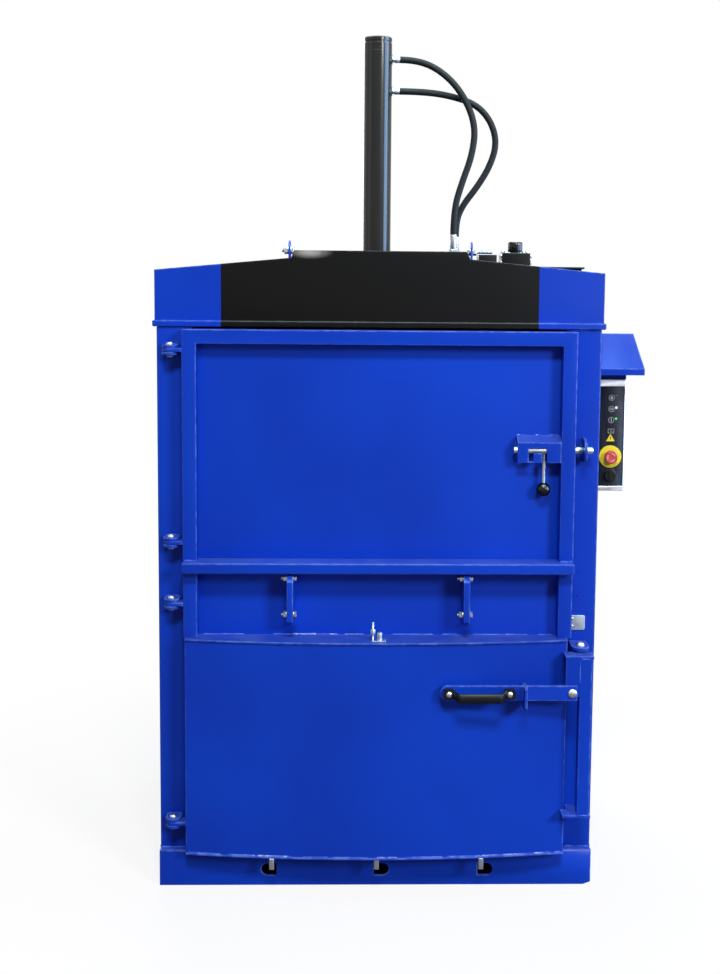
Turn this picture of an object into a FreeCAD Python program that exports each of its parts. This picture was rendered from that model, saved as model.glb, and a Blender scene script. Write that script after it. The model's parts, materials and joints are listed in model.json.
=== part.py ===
"""Compact vertical baler, free-standing: a steel press cabinet with two side-hinged doors.

Millimetres. +X is to the operator's right, +Y runs into the machine and +Z is up. The origin
is on the floor, at the middle of the cabinet's width and depth.
"""

import FreeCAD
import Part
import Sketcher
import math
import os
import re

from FreeCAD import Rotation, Vector

# Driving sizes, in millimetres, grouped by the sub-assembly that they shape.
SIZES = {
    # Cabinet
    "body_width": 1250,
    "body_depth": 800,
    "column_width": 100,
    "column_depth": 120,
    "rear_post_depth": 60,
    "back_wall_thick": 60,
    "cabinet_top": 1615,
    # Base
    "base_height": 104,
    "base_lead": 26,
    "base_wall": 8,
    "bottom_plate_thick": 5,
    "chamber_floor_thick": 10,
    "slot_pitch": 298,
    "slot_width": 44,
    "slot_floor_gap": 29,
    "slot_tall": 36,
    "left_slot_shift": -12,
    "middle_slot_shift": 15,
    "right_slot_shift": 19,
    "corner_cut_long": 22,
    "corner_cut_high": 8,
    # Head
    "flange_thick": 18,
    "flange_side_lead": 11,
    "flange_front_lead": 8,
    "cheek_side_lead": 5,
    "cheek_thick": 12,
    "cheek_end_tall": 140,
    "cheek_step_tall": 176,
    "cheek_tall": 197,
    "cheek_raised_half": 241,
    "cheek_step_run": 9,
    "lug_shift": 5,
    "lug_thick": 6,
    "lug_depth": 44,
    "lug_sunk": 39,
    "lug_rise": 48,
    # Press cylinder
    "cylinder_shift": -6,
    "cylinder_long": 824,
    "barrel_radius": 42.5,
    "cap_height": 40,
    "cap_groove_depth": 2.5,
    "cap_groove_wide": 6,
    "cap_groove_drop": 18,
    "mount_plate_half": 95,
    "mount_plate_thick": 18,
    "rod_radius": 25,
    "rod_hole_gap": 2,
    "port_boss_radius": 15,
    "port_boss_lead": 1.5,
    "fitting_radius": 10,
    "fitting_long": 22,
    "port_high_drop": 65,
    "port_low_drop": 159,
    # Platen
    "platen_drop": 135,
    "platen_plate_thick": 12,
    "platen_beam_height": 96,
    "platen_beam_width": 60,
    "platen_beam_place": 150,
    "platen_gap": 15,
    "platen_spine_half": 60,
    # Power unit on the head's deck
    "tank_wall_gap": 29,
    "tank_long": 406,
    "tank_tall": 157,
    "tank_half_depth": 200,
    "lid_lip": 8,
    "lid_thick": 6,
    "valve_set": 10,
    "valve_wide": 68,
    "valve_tall": 36,
    "valve_half_depth": 60,
    "terminal_set": 38,
    "terminal_wide": 55,
    "terminal_tall": 35,
    "terminal_half_depth": 40,
    "pump_set": 15,
    "pump_wide": 86,
    "pump_tall": 41,
    "pump_half_depth": 55,
    "breather_set": 45,
    "breather_radius": 22.5,
    "breather_neck_radius": 16,
    "breather_neck_height": 9,
    "breather_height": 34,
    "sleeve_radius": 10,
    "sleeve_foot_radius": 13,
    "sleeve_foot_height": 14,
    "hose_radius": 10,
    # Control box on the right-hand wall
    "box_wide": 87,
    "box_front_set": 75,
    "box_deep": 160,
    "box_top_drop": 60,
    "box_tall": 409,
    "bezel_left_set": 3,
    "bezel_wide": 82,
    "bezel_tall": 324,
    "bezel_thick": 8,
    "panel_set": 2,
    "panel_side_rim": 4,
    "panel_low_rim": 14,
    "panel_top_rim": 21,
    "stop_above_rim": 86,
    "stop_disc_radius": 32.5,
    "stop_disc_thick": 3,
    "stop_head_radius": 19,
    "stop_head_thick": 13,
    "stop_head_gap": 7,
    "stop_stem_radius": 8,
    "stop_stem_gap": 0.3,
    "knob_below_stop": 55,
    "knob_radius": 16.5,
    "knob_thick": 16,
    "knob_ring_radius": 19,
    "knob_ring_thick": 3,
    "hood_wide": 112,
    "hood_flare": 12,
    "hood_deep": 118,
    "hood_rise": 45,
    "hood_fall": 95,
    "hood_lip": 18,
    "hood_sheet": 3,
    # Doors and their hinges
    "door_gap": 10,
    "door_tube": 40,
    "door_side_set": 75,
    "door_sheet": 4,
    "panel_rebate": 20,
    "hinge_edge_set": 41,
    "hinge_set": 30,
    "leaf_radius": 20,
    "leaf_thick": 10,
    "ear_radius": 21.5,
    "ear_thick": 8,
    "leaf_ear_gap": 1,
    "pin_radius": 8,
    "pin_gap": 0.05,
    "pin_head_radius": 12,
    "pin_head_high": 9,
    "door_head_gap": 5,
    "upper_door_tall": 680,
    "door_split_gap": 5,
    "door_floor_gap": 6,
    "upper_leaf_top_set": 58,
    "upper_leaf_low_set": 81,
    "lower_leaf_top_set": 90,
    "lower_leaf_low_set": 83,
    "crossbar_height": 31,
    "crossbar_deep": 74,
    # Latch on the upper door
    "latch_rise": 347,
    "latch_set": 35,
    "bolt_radius": 10,
    "bolt_tail": 10,
    "bolt_reach": 51,
    "bolt_nose": 5,
    "bolt_hole_gap": 0.3,
    "latch_travel": 38,
    "housing_long": 123,
    "housing_low": 34,
    "housing_high": 23,
    "housing_back_high": 40,
    "housing_sheet": 4,
    "slot_set": 47,
    "slot_leg_wide": 14,
    "slot_bar_high": 13,
    "slot_bridge": 4,
    "latch_rod_radius": 5,
    "ball_drop": 111,
    "ball_radius": 20,
    "keeper_set": 23,
    "keeper_thick": 8,
    "keeper_radius": 33.5,
    # Lower door
    "top_frame_tall": 185,
    "lower_left_set": 5,
    "lower_right_set": 13,
    "lower_shelf_thick": 5,
    "skin_side_lead": 13,
    "skin_bow": 40,
    "shelf_lip": 6,
    "bracket_place": 248,
    "bracket_thick": 18,
    "bracket_top_set": 3,
    "bracket_tall": 142,
    "bracket_front": 85,
    "bracket_chamfer": 14,
    "finger_width": 14,
    "finger_thick": 3,
    "finger_long": 32,
    "finger_set": 95,
    "finger_fold": 22,
    # Closing bar of the lower door
    "bar_edge_set": 51,
    "bar_set": 60,
    "bar_low_set": 126,
    "bar_top_set": 34,
    "bar_tube_left_lead": 8,
    "bar_tube_right_lead": 26,
    "bar_tube_front_lead": 56,
    "bar_tube_deep": 40,
    "bar_plate_thick": 8,
    "bar_plate_left_lead": 49,
    "bar_plate_right_lead": 31,
    "bar_plate_deep": 48,
    "bar_arm_half": 20,
    "bar_tab_lead": 48,
    "bar_tab_tall": 107,
    "bar_tab_thick": 8,
    "bar_ear_radius": 25,
    "bar_ear_thick": 10,
    "bar_ear_gap": 5,
    "bar_pin_head_radius": 11,
    "bar_pin_head_high": 12,
    "lever_drop": 103,
    "lever_wide": 43,
    "lever_thick": 10,
    "lever_long": 385,
    "lever_right_set": 16,
    "cross_set": 147,
    "cross_thick": 8,
    "cross_low": 44,
    "cross_front": 30,
    "cross_back": 24,
    "cross_chamfer": 10,
    "grip_left_set": 25,
    "grip_pitch": 170,
    "grip_foot_half": 12,
    "grip_reach": 38,
    "grip_bar_half": 8,
    "grip_bar_deep": 14,
    # Interlock plate on the right-hand column
    "interlock_edge_set": 30,
    "interlock_wide": 55,
    "interlock_rise": 12,
    "interlock_tall": 43,
    "interlock_thick": 4,
    "interlock_corner": 6,
}

# Places worked out from the sizes.
PLACES = {
    "half_width": "body_width / 2",
    "front": "-body_depth / 2",
    "back": "body_depth / 2",
    "base_front": "front - base_lead",
    "chamber_half": "half_width - column_width",
    "chamber_back": "back - back_wall_thick",
    "slot_low": "slot_floor_gap",
    "slot_high": "slot_floor_gap + slot_tall",
    "deck": "cabinet_top + flange_thick",
    "cheek_half": "half_width + cheek_side_lead",
    "cheek_end_top": "deck + cheek_end_tall",
    "cheek_step_low": "deck + cheek_step_tall",
    "cheek_top": "deck + cheek_tall",
    "lug_place": "cheek_raised_half + cheek_step_run + lug_shift",
    "lug_foot": "cheek_step_low - lug_sunk",
    "lug_top": "cheek_step_low + lug_rise",
    "barrel_low": "deck + mount_plate_thick",
    "cylinder_top": "barrel_low + cylinder_long",
    "cap_groove_low": "cylinder_top - cap_groove_drop",
    "cap_groove_high": "cap_groove_low + cap_groove_wide",
    "port_high": "cylinder_top - port_high_drop",
    "port_low": "cylinder_top - port_low_drop",
    "fitting_left": "cylinder_shift + barrel_radius + port_boss_lead",
    "platen_low": "cabinet_top - platen_drop",
    "platen_top": "platen_low + platen_plate_thick",
    "tank_right": "half_width - tank_wall_gap",
    "tank_left": "tank_right - tank_long",
    "tank_top": "deck + tank_tall",
    "valve_left": "tank_left + valve_set",
    "valve_right": "valve_left + valve_wide",
    "valve_top": "tank_top + valve_tall",
    "terminal_left": "valve_right + terminal_set",
    "terminal_right": "terminal_left + terminal_wide",
    "terminal_top": "tank_top + terminal_tall",
    "pump_left": "terminal_right + pump_set",
    "pump_right": "pump_left + pump_wide",
    "pump_top": "tank_top + pump_tall",
    "breather_place": "pump_left + breather_set",
    "box_left": "half_width",
    "box_front": "front + box_front_set",
    "box_high": "cabinet_top - box_top_drop",
    "box_low": "box_high - box_tall",
    "bezel_left": "half_width + bezel_left_set",
    "bezel_front": "box_front - bezel_thick",
    "bezel_low": "box_low",
    "bezel_high": "bezel_low + bezel_tall",
    "panel_front": "bezel_front + panel_set",
    "panel_low": "bezel_low + panel_low_rim",
    "panel_high": "bezel_high - panel_top_rim",
    "stop_place": "bezel_left + bezel_wide / 2",
    "stop_height": "panel_low + stop_above_rim",
    "disc_front": "panel_front - stop_disc_thick",
    "knob_height": "stop_height - knob_below_stop",
    "hood_high": "box_high + hood_rise",
    "hood_front_high": "hood_high - hood_fall",
    "hood_lip_low": "hood_front_high - hood_lip",
    "door_back": "front - door_gap",
    "door_front": "door_back - door_tube",
    "door_half_width": "half_width - door_side_set",
    "panel_half_width": "door_half_width - panel_rebate",
    "hinge_place": "hinge_edge_set - half_width",
    "hinge_y": "front - hinge_set",
    "upper_door_top": "cabinet_top - door_head_gap",
    "upper_door_low": "upper_door_top - upper_door_tall",
    "lower_door_top": "upper_door_low - door_split_gap",
    "lower_door_low": "base_height + door_floor_gap",
    "lower_top_stile_low": "lower_door_top - top_frame_tall",
    "upper_leaf_high": "upper_door_top - upper_leaf_top_set",
    "upper_leaf_low": "upper_door_low + upper_leaf_low_set",
    "lower_leaf_high": "lower_door_top - lower_leaf_top_set",
    "lower_leaf_low": "lower_door_low + lower_leaf_low_set",
    "latch_height": "upper_door_low + latch_rise",
    "latch_y": "front - latch_set",
    "housing_right": "door_half_width - door_tube",
    "housing_left": "housing_right - housing_long",
    "bolt_left": "housing_left - bolt_tail",
    "bolt_right": "door_half_width + bolt_reach",
    "slot_rest": "housing_right - slot_set",
    "slot_open": "slot_rest - latch_travel",
    "keeper_left": "door_half_width + keeper_set",
    "lower_left": "lower_left_set - door_half_width",
    "lower_right": "door_half_width - lower_right_set",
    "skin_side_y": "door_front - skin_side_lead",
    "skin_half": "(lower_right - lower_left) / 2",
    "skin_middle": "(lower_right + lower_left) / 2",
    "skin_radius": "(skin_half ^ 2 + skin_bow ^ 2) / (2 * skin_bow)",
    "skin_centre_y": "skin_side_y - skin_bow + skin_radius",
    "shelf_top_low": "lower_top_stile_low - lower_shelf_thick",
    "shelf_bottom_top": "lower_door_low + lower_shelf_thick",
    "bracket_high": "lower_door_top - bracket_top_set",
    "bracket_low": "bracket_high - bracket_tall",
    "finger_low": "lower_door_low - finger_long",
    "bar_place": "half_width - bar_edge_set",
    "bar_y": "front - bar_set",
    "bar_front_y": "bar_y - bar_tube_front_lead",
    "bar_low": "lower_door_low + bar_low_set",
    "bar_high": "lower_top_stile_low - bar_top_set",
    "bar_tube_left": "bar_place - bar_tube_left_lead",
    "bar_tube_right": "bar_place + bar_tube_right_lead",
    "bar_plate_left": "bar_place - bar_plate_left_lead",
    "bar_plate_right": "bar_place + bar_plate_right_lead",
    "bar_tab_left": "bar_place - bar_tab_lead",
    "bar_tab_low": "bar_high - bar_plate_thick - bar_tab_tall",
    "lever_height": "bar_high - lever_drop",
    "lever_right": "bar_place - lever_right_set",
    "lever_left": "lever_right - lever_long",
    "lever_front_y": "bar_front_y - lever_thick",
    "cross_place": "lever_right - cross_set",
    "grip_left": "lever_left + grip_left_set",
    "grip_right": "grip_left + grip_pitch",
    "interlock_right": "half_width - interlock_edge_set",
    "interlock_left": "interlock_right - interlock_wide",
    "interlock_low": "lower_top_stile_low + interlock_rise",
    "interlock_high": "interlock_low + interlock_tall",
}

# Routes of the two hydraulic hoses, chosen by hand: out of the cylinder's ports, down to the valve.
UPPER_HOSE = [
    (60, 0, 2410), (120, 0, 2410), (196, -12, 2370), (256, -18, 2302), (292, -22, 2212),
    (281, -25, 2122), (251, -27, 2040), (228, -29, 1960), (228, -29, 1885),
]
LOWER_HOSE = [
    (60, 0, 2316), (130, 0, 2316), (215, 8, 2306), (295, 15, 2282), (342, 18, 2232),
    (361, 20, 2166), (342, 22, 2098), (304, 23, 2034), (257, 24, 1974), (239, 25, 1925),
    (239, 25, 1879),
]
ARC_SHARE = 0.45

SHEET_COLUMNS = ("A", "B")
PLANES = {"XY": "XY_Plane", "XZ": "XZ_Plane", "YZ": "YZ_Plane"}
ALONG = {
    "X": Rotation(Vector(0, 1, 0), 90),
    "Y": Rotation(Vector(1, 0, 0), -90),
    "Z": Rotation(),
}

doc = FreeCAD.newDocument("Baler")
sub_parts = {}


def fill_sheet(name, rows):
    """A spreadsheet with one named cell for each row; the names come first, for rows that use them."""
    sheet = doc.addObject("Spreadsheet::Sheet", name)
    name_column, value_column = SHEET_COLUMNS
    for row, alias in enumerate(rows, start=1):
        sheet.set(f"{name_column}{row}", alias)
        sheet.setAlias(f"{value_column}{row}", alias)
    for row, content in enumerate(rows.values(), start=1):
        sheet.set(f"{value_column}{row}", content)
    doc.recompute()
    return sheet


def cells(text):
    """An expression with each size and place written as a cell of its sheet."""
    def cell(match):
        word = match.group(0)
        if word in SIZES:
            return f"Sizes.{word}"
        if word in PLACES:
            return f"Places.{word}"
        return word
    return re.sub(r"[a-z][a-z_0-9]*", cell, str(text))


sizes = fill_sheet("Sizes", {alias: str(size) for alias, size in SIZES.items()})
places = fill_sheet("Places", {
    alias: "=" + cells(formula).replace("Places.", "") for alias, formula in PLACES.items()})


def value(alias):
    """The number in a named cell."""
    sheet = sizes if alias in SIZES else places
    return float(sheet.get(alias))


def number(text):
    """The value of an expression, for the first drawing of a sketch."""
    names = {alias: value(alias) for alias in re.findall(r"[a-z][a-z_0-9]*", str(text))}
    filled = re.sub(r"[a-z][a-z_0-9]*", lambda match: f"({names[match.group(0)]})", str(text))
    scratch.setExpression("Length", filled)
    doc.recompute([scratch])
    return scratch.Length.Value


def box(name, x, y, z):
    """A block from a low to a high expression on each axis."""
    block = doc.addObject("Part::Box", name)
    for side, axis, (low, high) in (("Length", "x", x), ("Width", "y", y), ("Height", "z", z)):
        block.setExpression(side, cells(f"({high}) - ({low})"))
        block.setExpression(f"Placement.Base.{axis}", cells(low))
    return block


def put(item, x, y, z):
    """Bind an item's place to three expressions."""
    item.setExpression("Placement.Base.x", cells(x))
    item.setExpression("Placement.Base.y", cells(y))
    item.setExpression("Placement.Base.z", cells(z))
    return item


def rod(name, axis, centre, radius, low, high):
    """A round bar along one axis; centre gives its places on the two other axes."""
    bar = doc.addObject("Part::Cylinder", name)
    bar.Placement = FreeCAD.Placement(Vector(), ALONG[axis])
    bar.setExpression("Radius", cells(radius))
    bar.setExpression("Height", cells(f"({high}) - ({low})"))
    spot = list(centre)
    spot.insert("XYZ".index(axis), low)
    return put(bar, *spot)


def cone(name, axis, centre, radius_low, radius_high, low, high):
    """A round taper along one axis, from its low to its high end."""
    taper = doc.addObject("Part::Cone", name)
    taper.Placement = FreeCAD.Placement(Vector(), ALONG[axis])
    taper.setExpression("Radius1", cells(radius_low))
    taper.setExpression("Radius2", cells(radius_high))
    taper.setExpression("Height", cells(f"({high}) - ({low})"))
    spot = list(centre)
    spot.insert("XYZ".index(axis), low)
    return put(taper, *spot)


def hexagon(name, centre, radius, low, high):
    """A six-sided upright nut; radius is to its corners."""
    nut = doc.addObject("Part::Prism", name)
    nut.Polygon = 6
    nut.setExpression("Circumradius", cells(radius))
    nut.setExpression("Height", cells(f"({high}) - ({low})"))
    return put(nut, centre[0], centre[1], low)


def fuse(name, *items):
    """Items that are one welded or moulded piece."""
    joined = doc.addObject("Part::MultiFuse", name)
    joined.Shapes = list(items)
    joined.Refine = True
    return joined


def cut(name, base, *tools):
    """A piece with everything in tools taken out of it."""
    tool = tools[0] if len(tools) == 1 else fuse(f"{name}_tools", *tools)
    left = doc.addObject("Part::Cut", name)
    left.Base = base
    left.Tool = tool
    left.Refine = True
    return left


def common(name, first, second):
    """What two items share."""
    shared = doc.addObject("Part::Common", name)
    shared.Base = first
    shared.Tool = second
    return shared


def together(name, items):
    """Like pieces that stand apart and share one node."""
    group = doc.addObject("Part::Compound", name)
    group.Links = list(items)
    return group


def sketched(name, plane, corners, low, high):
    """A plate: a closed outline of straight edges on a plane, padded from low to high.

    Each corner is a pair of expressions along the plane's two axes, and its place is a pair of
    driving constraints.
    """
    body = doc.addObject("PartDesign::Body", name)
    sketch = body.newObject("Sketcher::SketchObject", f"{name}_outline")
    origin_plane = next(item for item in body.Origin.OriginFeatures if item.Role == PLANES[plane])
    sketch.AttachmentSupport = [(origin_plane, "")]
    sketch.MapMode = "FlatFace"
    spots = [Vector(number(u), number(v), 0) for u, v in corners]
    count = len(spots)
    for edge in range(count):
        sketch.addGeometry(Part.LineSegment(spots[edge], spots[(edge + 1) % count]), False)
    for edge in range(count):
        sketch.addConstraint(Sketcher.Constraint("Coincident", edge, 2, (edge + 1) % count, 1))
    for edge, (u, v) in enumerate(corners):
        for kind, text, now in (("DistanceX", u, spots[edge].x), ("DistanceY", v, spots[edge].y)):
            index = sketch.addConstraint(Sketcher.Constraint(kind, -1, 1, edge, 1, now))
            sketch.setExpression(f"Constraints[{index}]", cells(text))
    # The XZ plane faces -Y, so its outline starts at the high end.
    start = f"-({high})" if plane == "XZ" else low
    sketch.setExpression("AttachmentOffset.Base.z", cells(start))
    pad = body.newObject("PartDesign::Pad", f"{name}_pad")
    pad.Profile = sketch
    pad.setExpression("Length", cells(f"({high}) - ({low})"))
    body.Tip = pad
    return body


def sub_part(label, item):
    """Name a finished piece, so that it is checked and written."""
    item.Label = label
    sub_parts[label] = item
    return item


scratch = doc.addObject("Part::Box", "Scratch")


# Base: a shallow tray under the chamber, with strap slots through its front
def strap_slot(name, middle, flat_side):
    """The cutter for one D-shaped slot; flat_side is -1 for a flat left end, 1 for a right one."""
    half_high = "(slot_high - slot_low) / 2"
    round_middle = f"{middle} - ({flat_side}) * (slot_width / 2 - {half_high})"
    flat_end = f"{middle} + ({flat_side}) * slot_width / 2"
    span = (round_middle, flat_end) if flat_side > 0 else (flat_end, round_middle)
    through = ("base_front - base_wall", "base_front + 2 * base_wall")
    straight = box(f"{name}_straight", span, through, ("slot_low", "slot_high"))
    end = rod(f"{name}_end", "Y", (round_middle, "(slot_low + slot_high) / 2"), half_high, *through)
    return fuse(name, straight, end)


def make_base():
    """The tray's front with its strap slots, its sides and back, its bottom and the floor."""
    front = sketched("FrontPlate", "XZ", [
        ("-half_width", "0"),
        ("half_width - corner_cut_long", "0"),
        ("half_width", "corner_cut_high"),
        ("half_width", "base_height"),
        ("-half_width", "base_height"),
    ], "base_front", "base_front + base_wall")
    slots = [
        strap_slot("SlotLeft", "-slot_pitch + left_slot_shift", 1),
        strap_slot("SlotMiddle", "middle_slot_shift", -1),
        strap_slot("SlotRight", "slot_pitch + right_slot_shift", -1),
    ]
    sub_part("base_front_beam", cut("BaseFront", front, *slots))
    length = ("base_front + base_wall", "back")
    height = ("bottom_plate_thick", "base_height - chamber_floor_thick")
    sub_part("base_side_beams", together("BaseSides", [
        box("BaseSideLeft", ("-half_width", "-half_width + base_wall"), length, height),
        box("BaseSideRight", ("half_width - base_wall", "half_width"), length, height),
    ]))
    inside = ("-half_width + base_wall", "half_width - base_wall")
    sub_part("base_back_beam", box("BaseBack", inside, ("back - base_wall", "back"), height))
    full = ("-half_width", "half_width - corner_cut_long")
    sub_part("base_plate", box("BasePlate", full, length, ("0", "bottom_plate_thick")))
    sub_part("chamber_floor", box(
        "Floor", ("-half_width", "half_width"), length,
        ("base_height - chamber_floor_thick", "base_height")))


# Cabinet: columns in front, posts behind, walls between them
def make_cabinet():
    """The front columns, the rear posts, the side walls and the back wall."""
    height = ("base_height", "cabinet_top")
    left = ("-half_width", "-chamber_half")
    right = ("chamber_half", "half_width")
    column = ("front", "front + column_depth")
    post = ("back - rear_post_depth", "back")
    wall = ("front + column_depth", "back - rear_post_depth")
    sub_part("front_columns", together("Columns", [
        box("ColumnLeft", left, column, height), box("ColumnRight", right, column, height)]))
    sub_part("rear_posts", together("RearPosts", [
        box("PostLeft", left, post, height), box("PostRight", right, post, height)]))
    sub_part("side_walls", together("SideWalls", [
        box("WallLeft", left, wall, height), box("WallRight", right, wall, height)]))
    sub_part("back_wall", box(
        "BackWall", ("-chamber_half", "chamber_half"), ("chamber_back", "back"), height))


# Head: a flanged deck with shaped cheeks, open at the top
def cheek(name, low, high):
    """One cheek: sloped shoulders up to a raised middle."""
    step = "cheek_raised_half + cheek_step_run"
    return sketched(name, "XZ", [
        ("-cheek_half", "deck"),
        ("cheek_half", "deck"),
        ("cheek_half", "cheek_end_top"),
        (step, "cheek_step_low"),
        ("cheek_raised_half", "cheek_top"),
        ("-cheek_raised_half", "cheek_top"),
        (f"-({step})", "cheek_step_low"),
        ("-cheek_half", "cheek_end_top"),
    ], low, high)


def lifting_lug(name, side):
    """One lug with a rounded top, welded behind the front cheek."""
    middle = f"({side}) * lug_place"
    across = (f"{middle} - lug_thick / 2", f"{middle} + lug_thick / 2")
    along = ("front + cheek_thick", "front + cheek_thick + lug_depth")
    centre_y = "front + cheek_thick + lug_depth / 2"
    centre_z = "lug_top - lug_depth / 2"
    plate = box(f"{name}Plate", across, along, ("lug_foot", centre_z))
    return fuse(name, plate, rod(f"{name}Top", "X", (centre_y, centre_z), "lug_depth / 2", *across))


def make_head():
    """The deck with its rod hole, both cheeks, the end plates and the lifting lugs."""
    side = "half_width + flange_side_lead"
    plate = box(
        "DeckPlate", (f"-({side})", side), ("front - flange_front_lead", "back"),
        ("cabinet_top", "deck"))
    hole = rod(
        "DeckHole", "Z", ("cylinder_shift", "0"), "rod_radius + rod_hole_gap",
        "cabinet_top - flange_thick", "deck + flange_thick")
    sub_part("head_deck", cut("Deck", plate, hole))
    sub_part("head_front_cheek", cheek("FrontCheek", "front", "front + cheek_thick"))
    sub_part("head_back_cheek", cheek("BackCheek", "back - cheek_thick", "back"))
    along = ("front + cheek_thick", "back - cheek_thick")
    height = ("deck", "cheek_end_top")
    sub_part("head_ends", together("HeadEnds", [
        box("HeadEndLeft", ("-cheek_half", "-cheek_half + cheek_thick"), along, height),
        box("HeadEndRight", ("cheek_half - cheek_thick", "cheek_half"), along, height),
    ]))
    sub_part("head_lugs", together("Lugs", [lifting_lug("LugLeft", -1), lifting_lug("LugRight", 1)]))


# Press cylinder, rod and platen, at the top of the stroke
def make_cylinder():
    """The barrel on its mounting plate with two port bosses, its cap, the rod and the platen."""
    centre = ("cylinder_shift", "0")
    half = "mount_plate_half"
    foot = box(
        "MountPlate", (f"cylinder_shift - {half}", f"cylinder_shift + {half}"),
        (f"-{half}", half), ("deck", "barrel_low"))
    barrel = rod(
        "Tube", "Z", centre, "barrel_radius", "barrel_low", "cylinder_top - cap_height")
    bosses = [
        rod(f"Boss{index}", "X", ("0", height), "port_boss_radius", "cylinder_shift", "fitting_left")
        for index, height in enumerate(("port_high", "port_low"))
    ]
    sub_part("cylinder_barrel", fuse("Barrel", foot, barrel, *bosses))
    cap = rod("CapSolid", "Z", centre, "barrel_radius", "cylinder_top - cap_height", "cylinder_top")
    groove = ("cap_groove_low", "cap_groove_high")
    ring = cut(
        "CapGroove", rod("GrooveOuter", "Z", centre, "barrel_radius + 2 * cap_groove_depth", *groove),
        rod("GrooveInner", "Z", centre, "barrel_radius - cap_groove_depth", *groove))
    sub_part("cylinder_cap", cut("Cap", cap, ring))
    sub_part("piston_rod", rod(
        "PistonRod", "Z", centre, "rod_radius", "platen_top + platen_beam_height", "deck"))
    chamber_side = "chamber_half - platen_gap"
    plate = box(
        "PlatenPlate", (f"-({chamber_side})", chamber_side),
        ("front + platen_gap", "chamber_back - platen_gap"), ("platen_low", "platen_top"))
    beams = [
        box(f"PlatenBeam{index}", (f"-({chamber_side})", chamber_side),
            (f"({side}) * platen_beam_place - platen_beam_width / 2",
             f"({side}) * platen_beam_place + platen_beam_width / 2"),
            ("platen_top", "platen_top + platen_beam_height"))
        for index, side in enumerate((-1, 1))
    ]
    spine = box(
        "PlatenSpine", ("cylinder_shift - platen_spine_half", "cylinder_shift + platen_spine_half"),
        ("-platen_beam_place", "platen_beam_place"), ("platen_top", "platen_top + platen_beam_height"))
    sub_part("press_platen", fuse("Platen", plate, spine, *beams))
    fittings = [
        rod(f"Fitting{index}", "X", ("0", height), "fitting_radius",
            "fitting_left", "fitting_left + fitting_long")
        for index, height in enumerate(("port_high", "port_low"))
    ]
    sub_part("cylinder_fittings", together("Fittings", fittings))


# Power unit in the right half of the head
def make_power_unit():
    """The oil tank with its lid, the valve block, the pump head, the terminal box and the breather."""
    depth = ("-tank_half_depth", "tank_half_depth")
    tank = box("TankBody", ("tank_left", "tank_right"), depth, ("deck", "tank_top - lid_thick"))
    lid = box(
        "TankLid", ("tank_left - lid_lip", "tank_right + lid_lip"),
        ("-tank_half_depth - lid_lip", "tank_half_depth + lid_lip"),
        ("tank_top - lid_thick", "tank_top"))
    sub_part("oil_tank", fuse("Tank", tank, lid))
    for label, part in (("valve_block", "valve"), ("pump_head", "pump"), ("terminal_box", "terminal")):
        sub_part(label, box(
            part.capitalize(), (f"{part}_left", f"{part}_right"),
            (f"-{part}_half_depth", f"{part}_half_depth"), ("tank_top", f"{part}_top")))
    centre = ("breather_place", "0")
    neck_top = "pump_top + breather_neck_height"
    sub_part("breather_cap", fuse(
        "Breather",
        rod("BreatherNeck", "Z", centre, "breather_neck_radius", "pump_top", neck_top),
        rod("BreatherLid", "Z", centre, "breather_radius", neck_top, "pump_top + breather_height")))
    sleeves = []
    for index, route in enumerate((UPPER_HOSE, LOWER_HOSE)):
        spot = (str(route[-1][0]), str(route[-1][1]))
        foot_top = "valve_top + sleeve_foot_height"
        sleeves.append(fuse(
            f"Sleeve{index}",
            hexagon(f"SleeveFoot{index}", spot, "sleeve_foot_radius", "valve_top", foot_top),
            rod(f"SleeveTube{index}", "Z", spot, "sleeve_radius", foot_top, str(route[-1][2]))))
    sub_part("valve_sleeves", together("Sleeves", sleeves))


def hose(label, route):
    """A hose along straight runs joined by tangent arcs, each as large as its two runs allow."""
    points = [Vector(*point) for point in route]
    edges = []
    radii = []
    start = points[0]
    for before, corner, after in zip(points, points[1:], points[2:]):
        inward = (corner - before).normalize()
        outward = (after - corner).normalize()
        half_turn = inward.getAngle(outward) / 2
        setback = ARC_SHARE * min((corner - before).Length, (after - corner).Length)
        radii.append(setback / math.tan(half_turn))
        entry = corner - inward * setback
        leave = corner + outward * setback
        to_centre = (outward - inward).normalize()
        centre = corner + to_centre * (radii[-1] / math.cos(half_turn))
        middle = centre - to_centre * radii[-1]
        edges.append(Part.LineSegment(start, entry).toShape())
        edges.append(Part.Arc(entry, middle, leave).toShape())
        start = leave
    edges.append(Part.LineSegment(start, points[-1]).toShape())
    path = Part.Wire(edges)
    radius = value("hose_radius")
    ring = Part.Wire([Part.Circle(points[0], points[1] - points[0], radius).toShape()])
    tube = path.makePipeShell([ring], True, False)
    feature = doc.addObject("Part::Feature", label.title().replace("_", ""))
    feature.Shape = tube
    expected = math.pi * radius ** 2 * path.Length
    print(f"{label}: length {path.Length:.1f}, volume over section times length "
          f"{tube.Volume / expected:.4f}, radii " + ", ".join(f"{arc:.0f}" for arc in radii))
    sub_part(label, feature)


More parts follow.
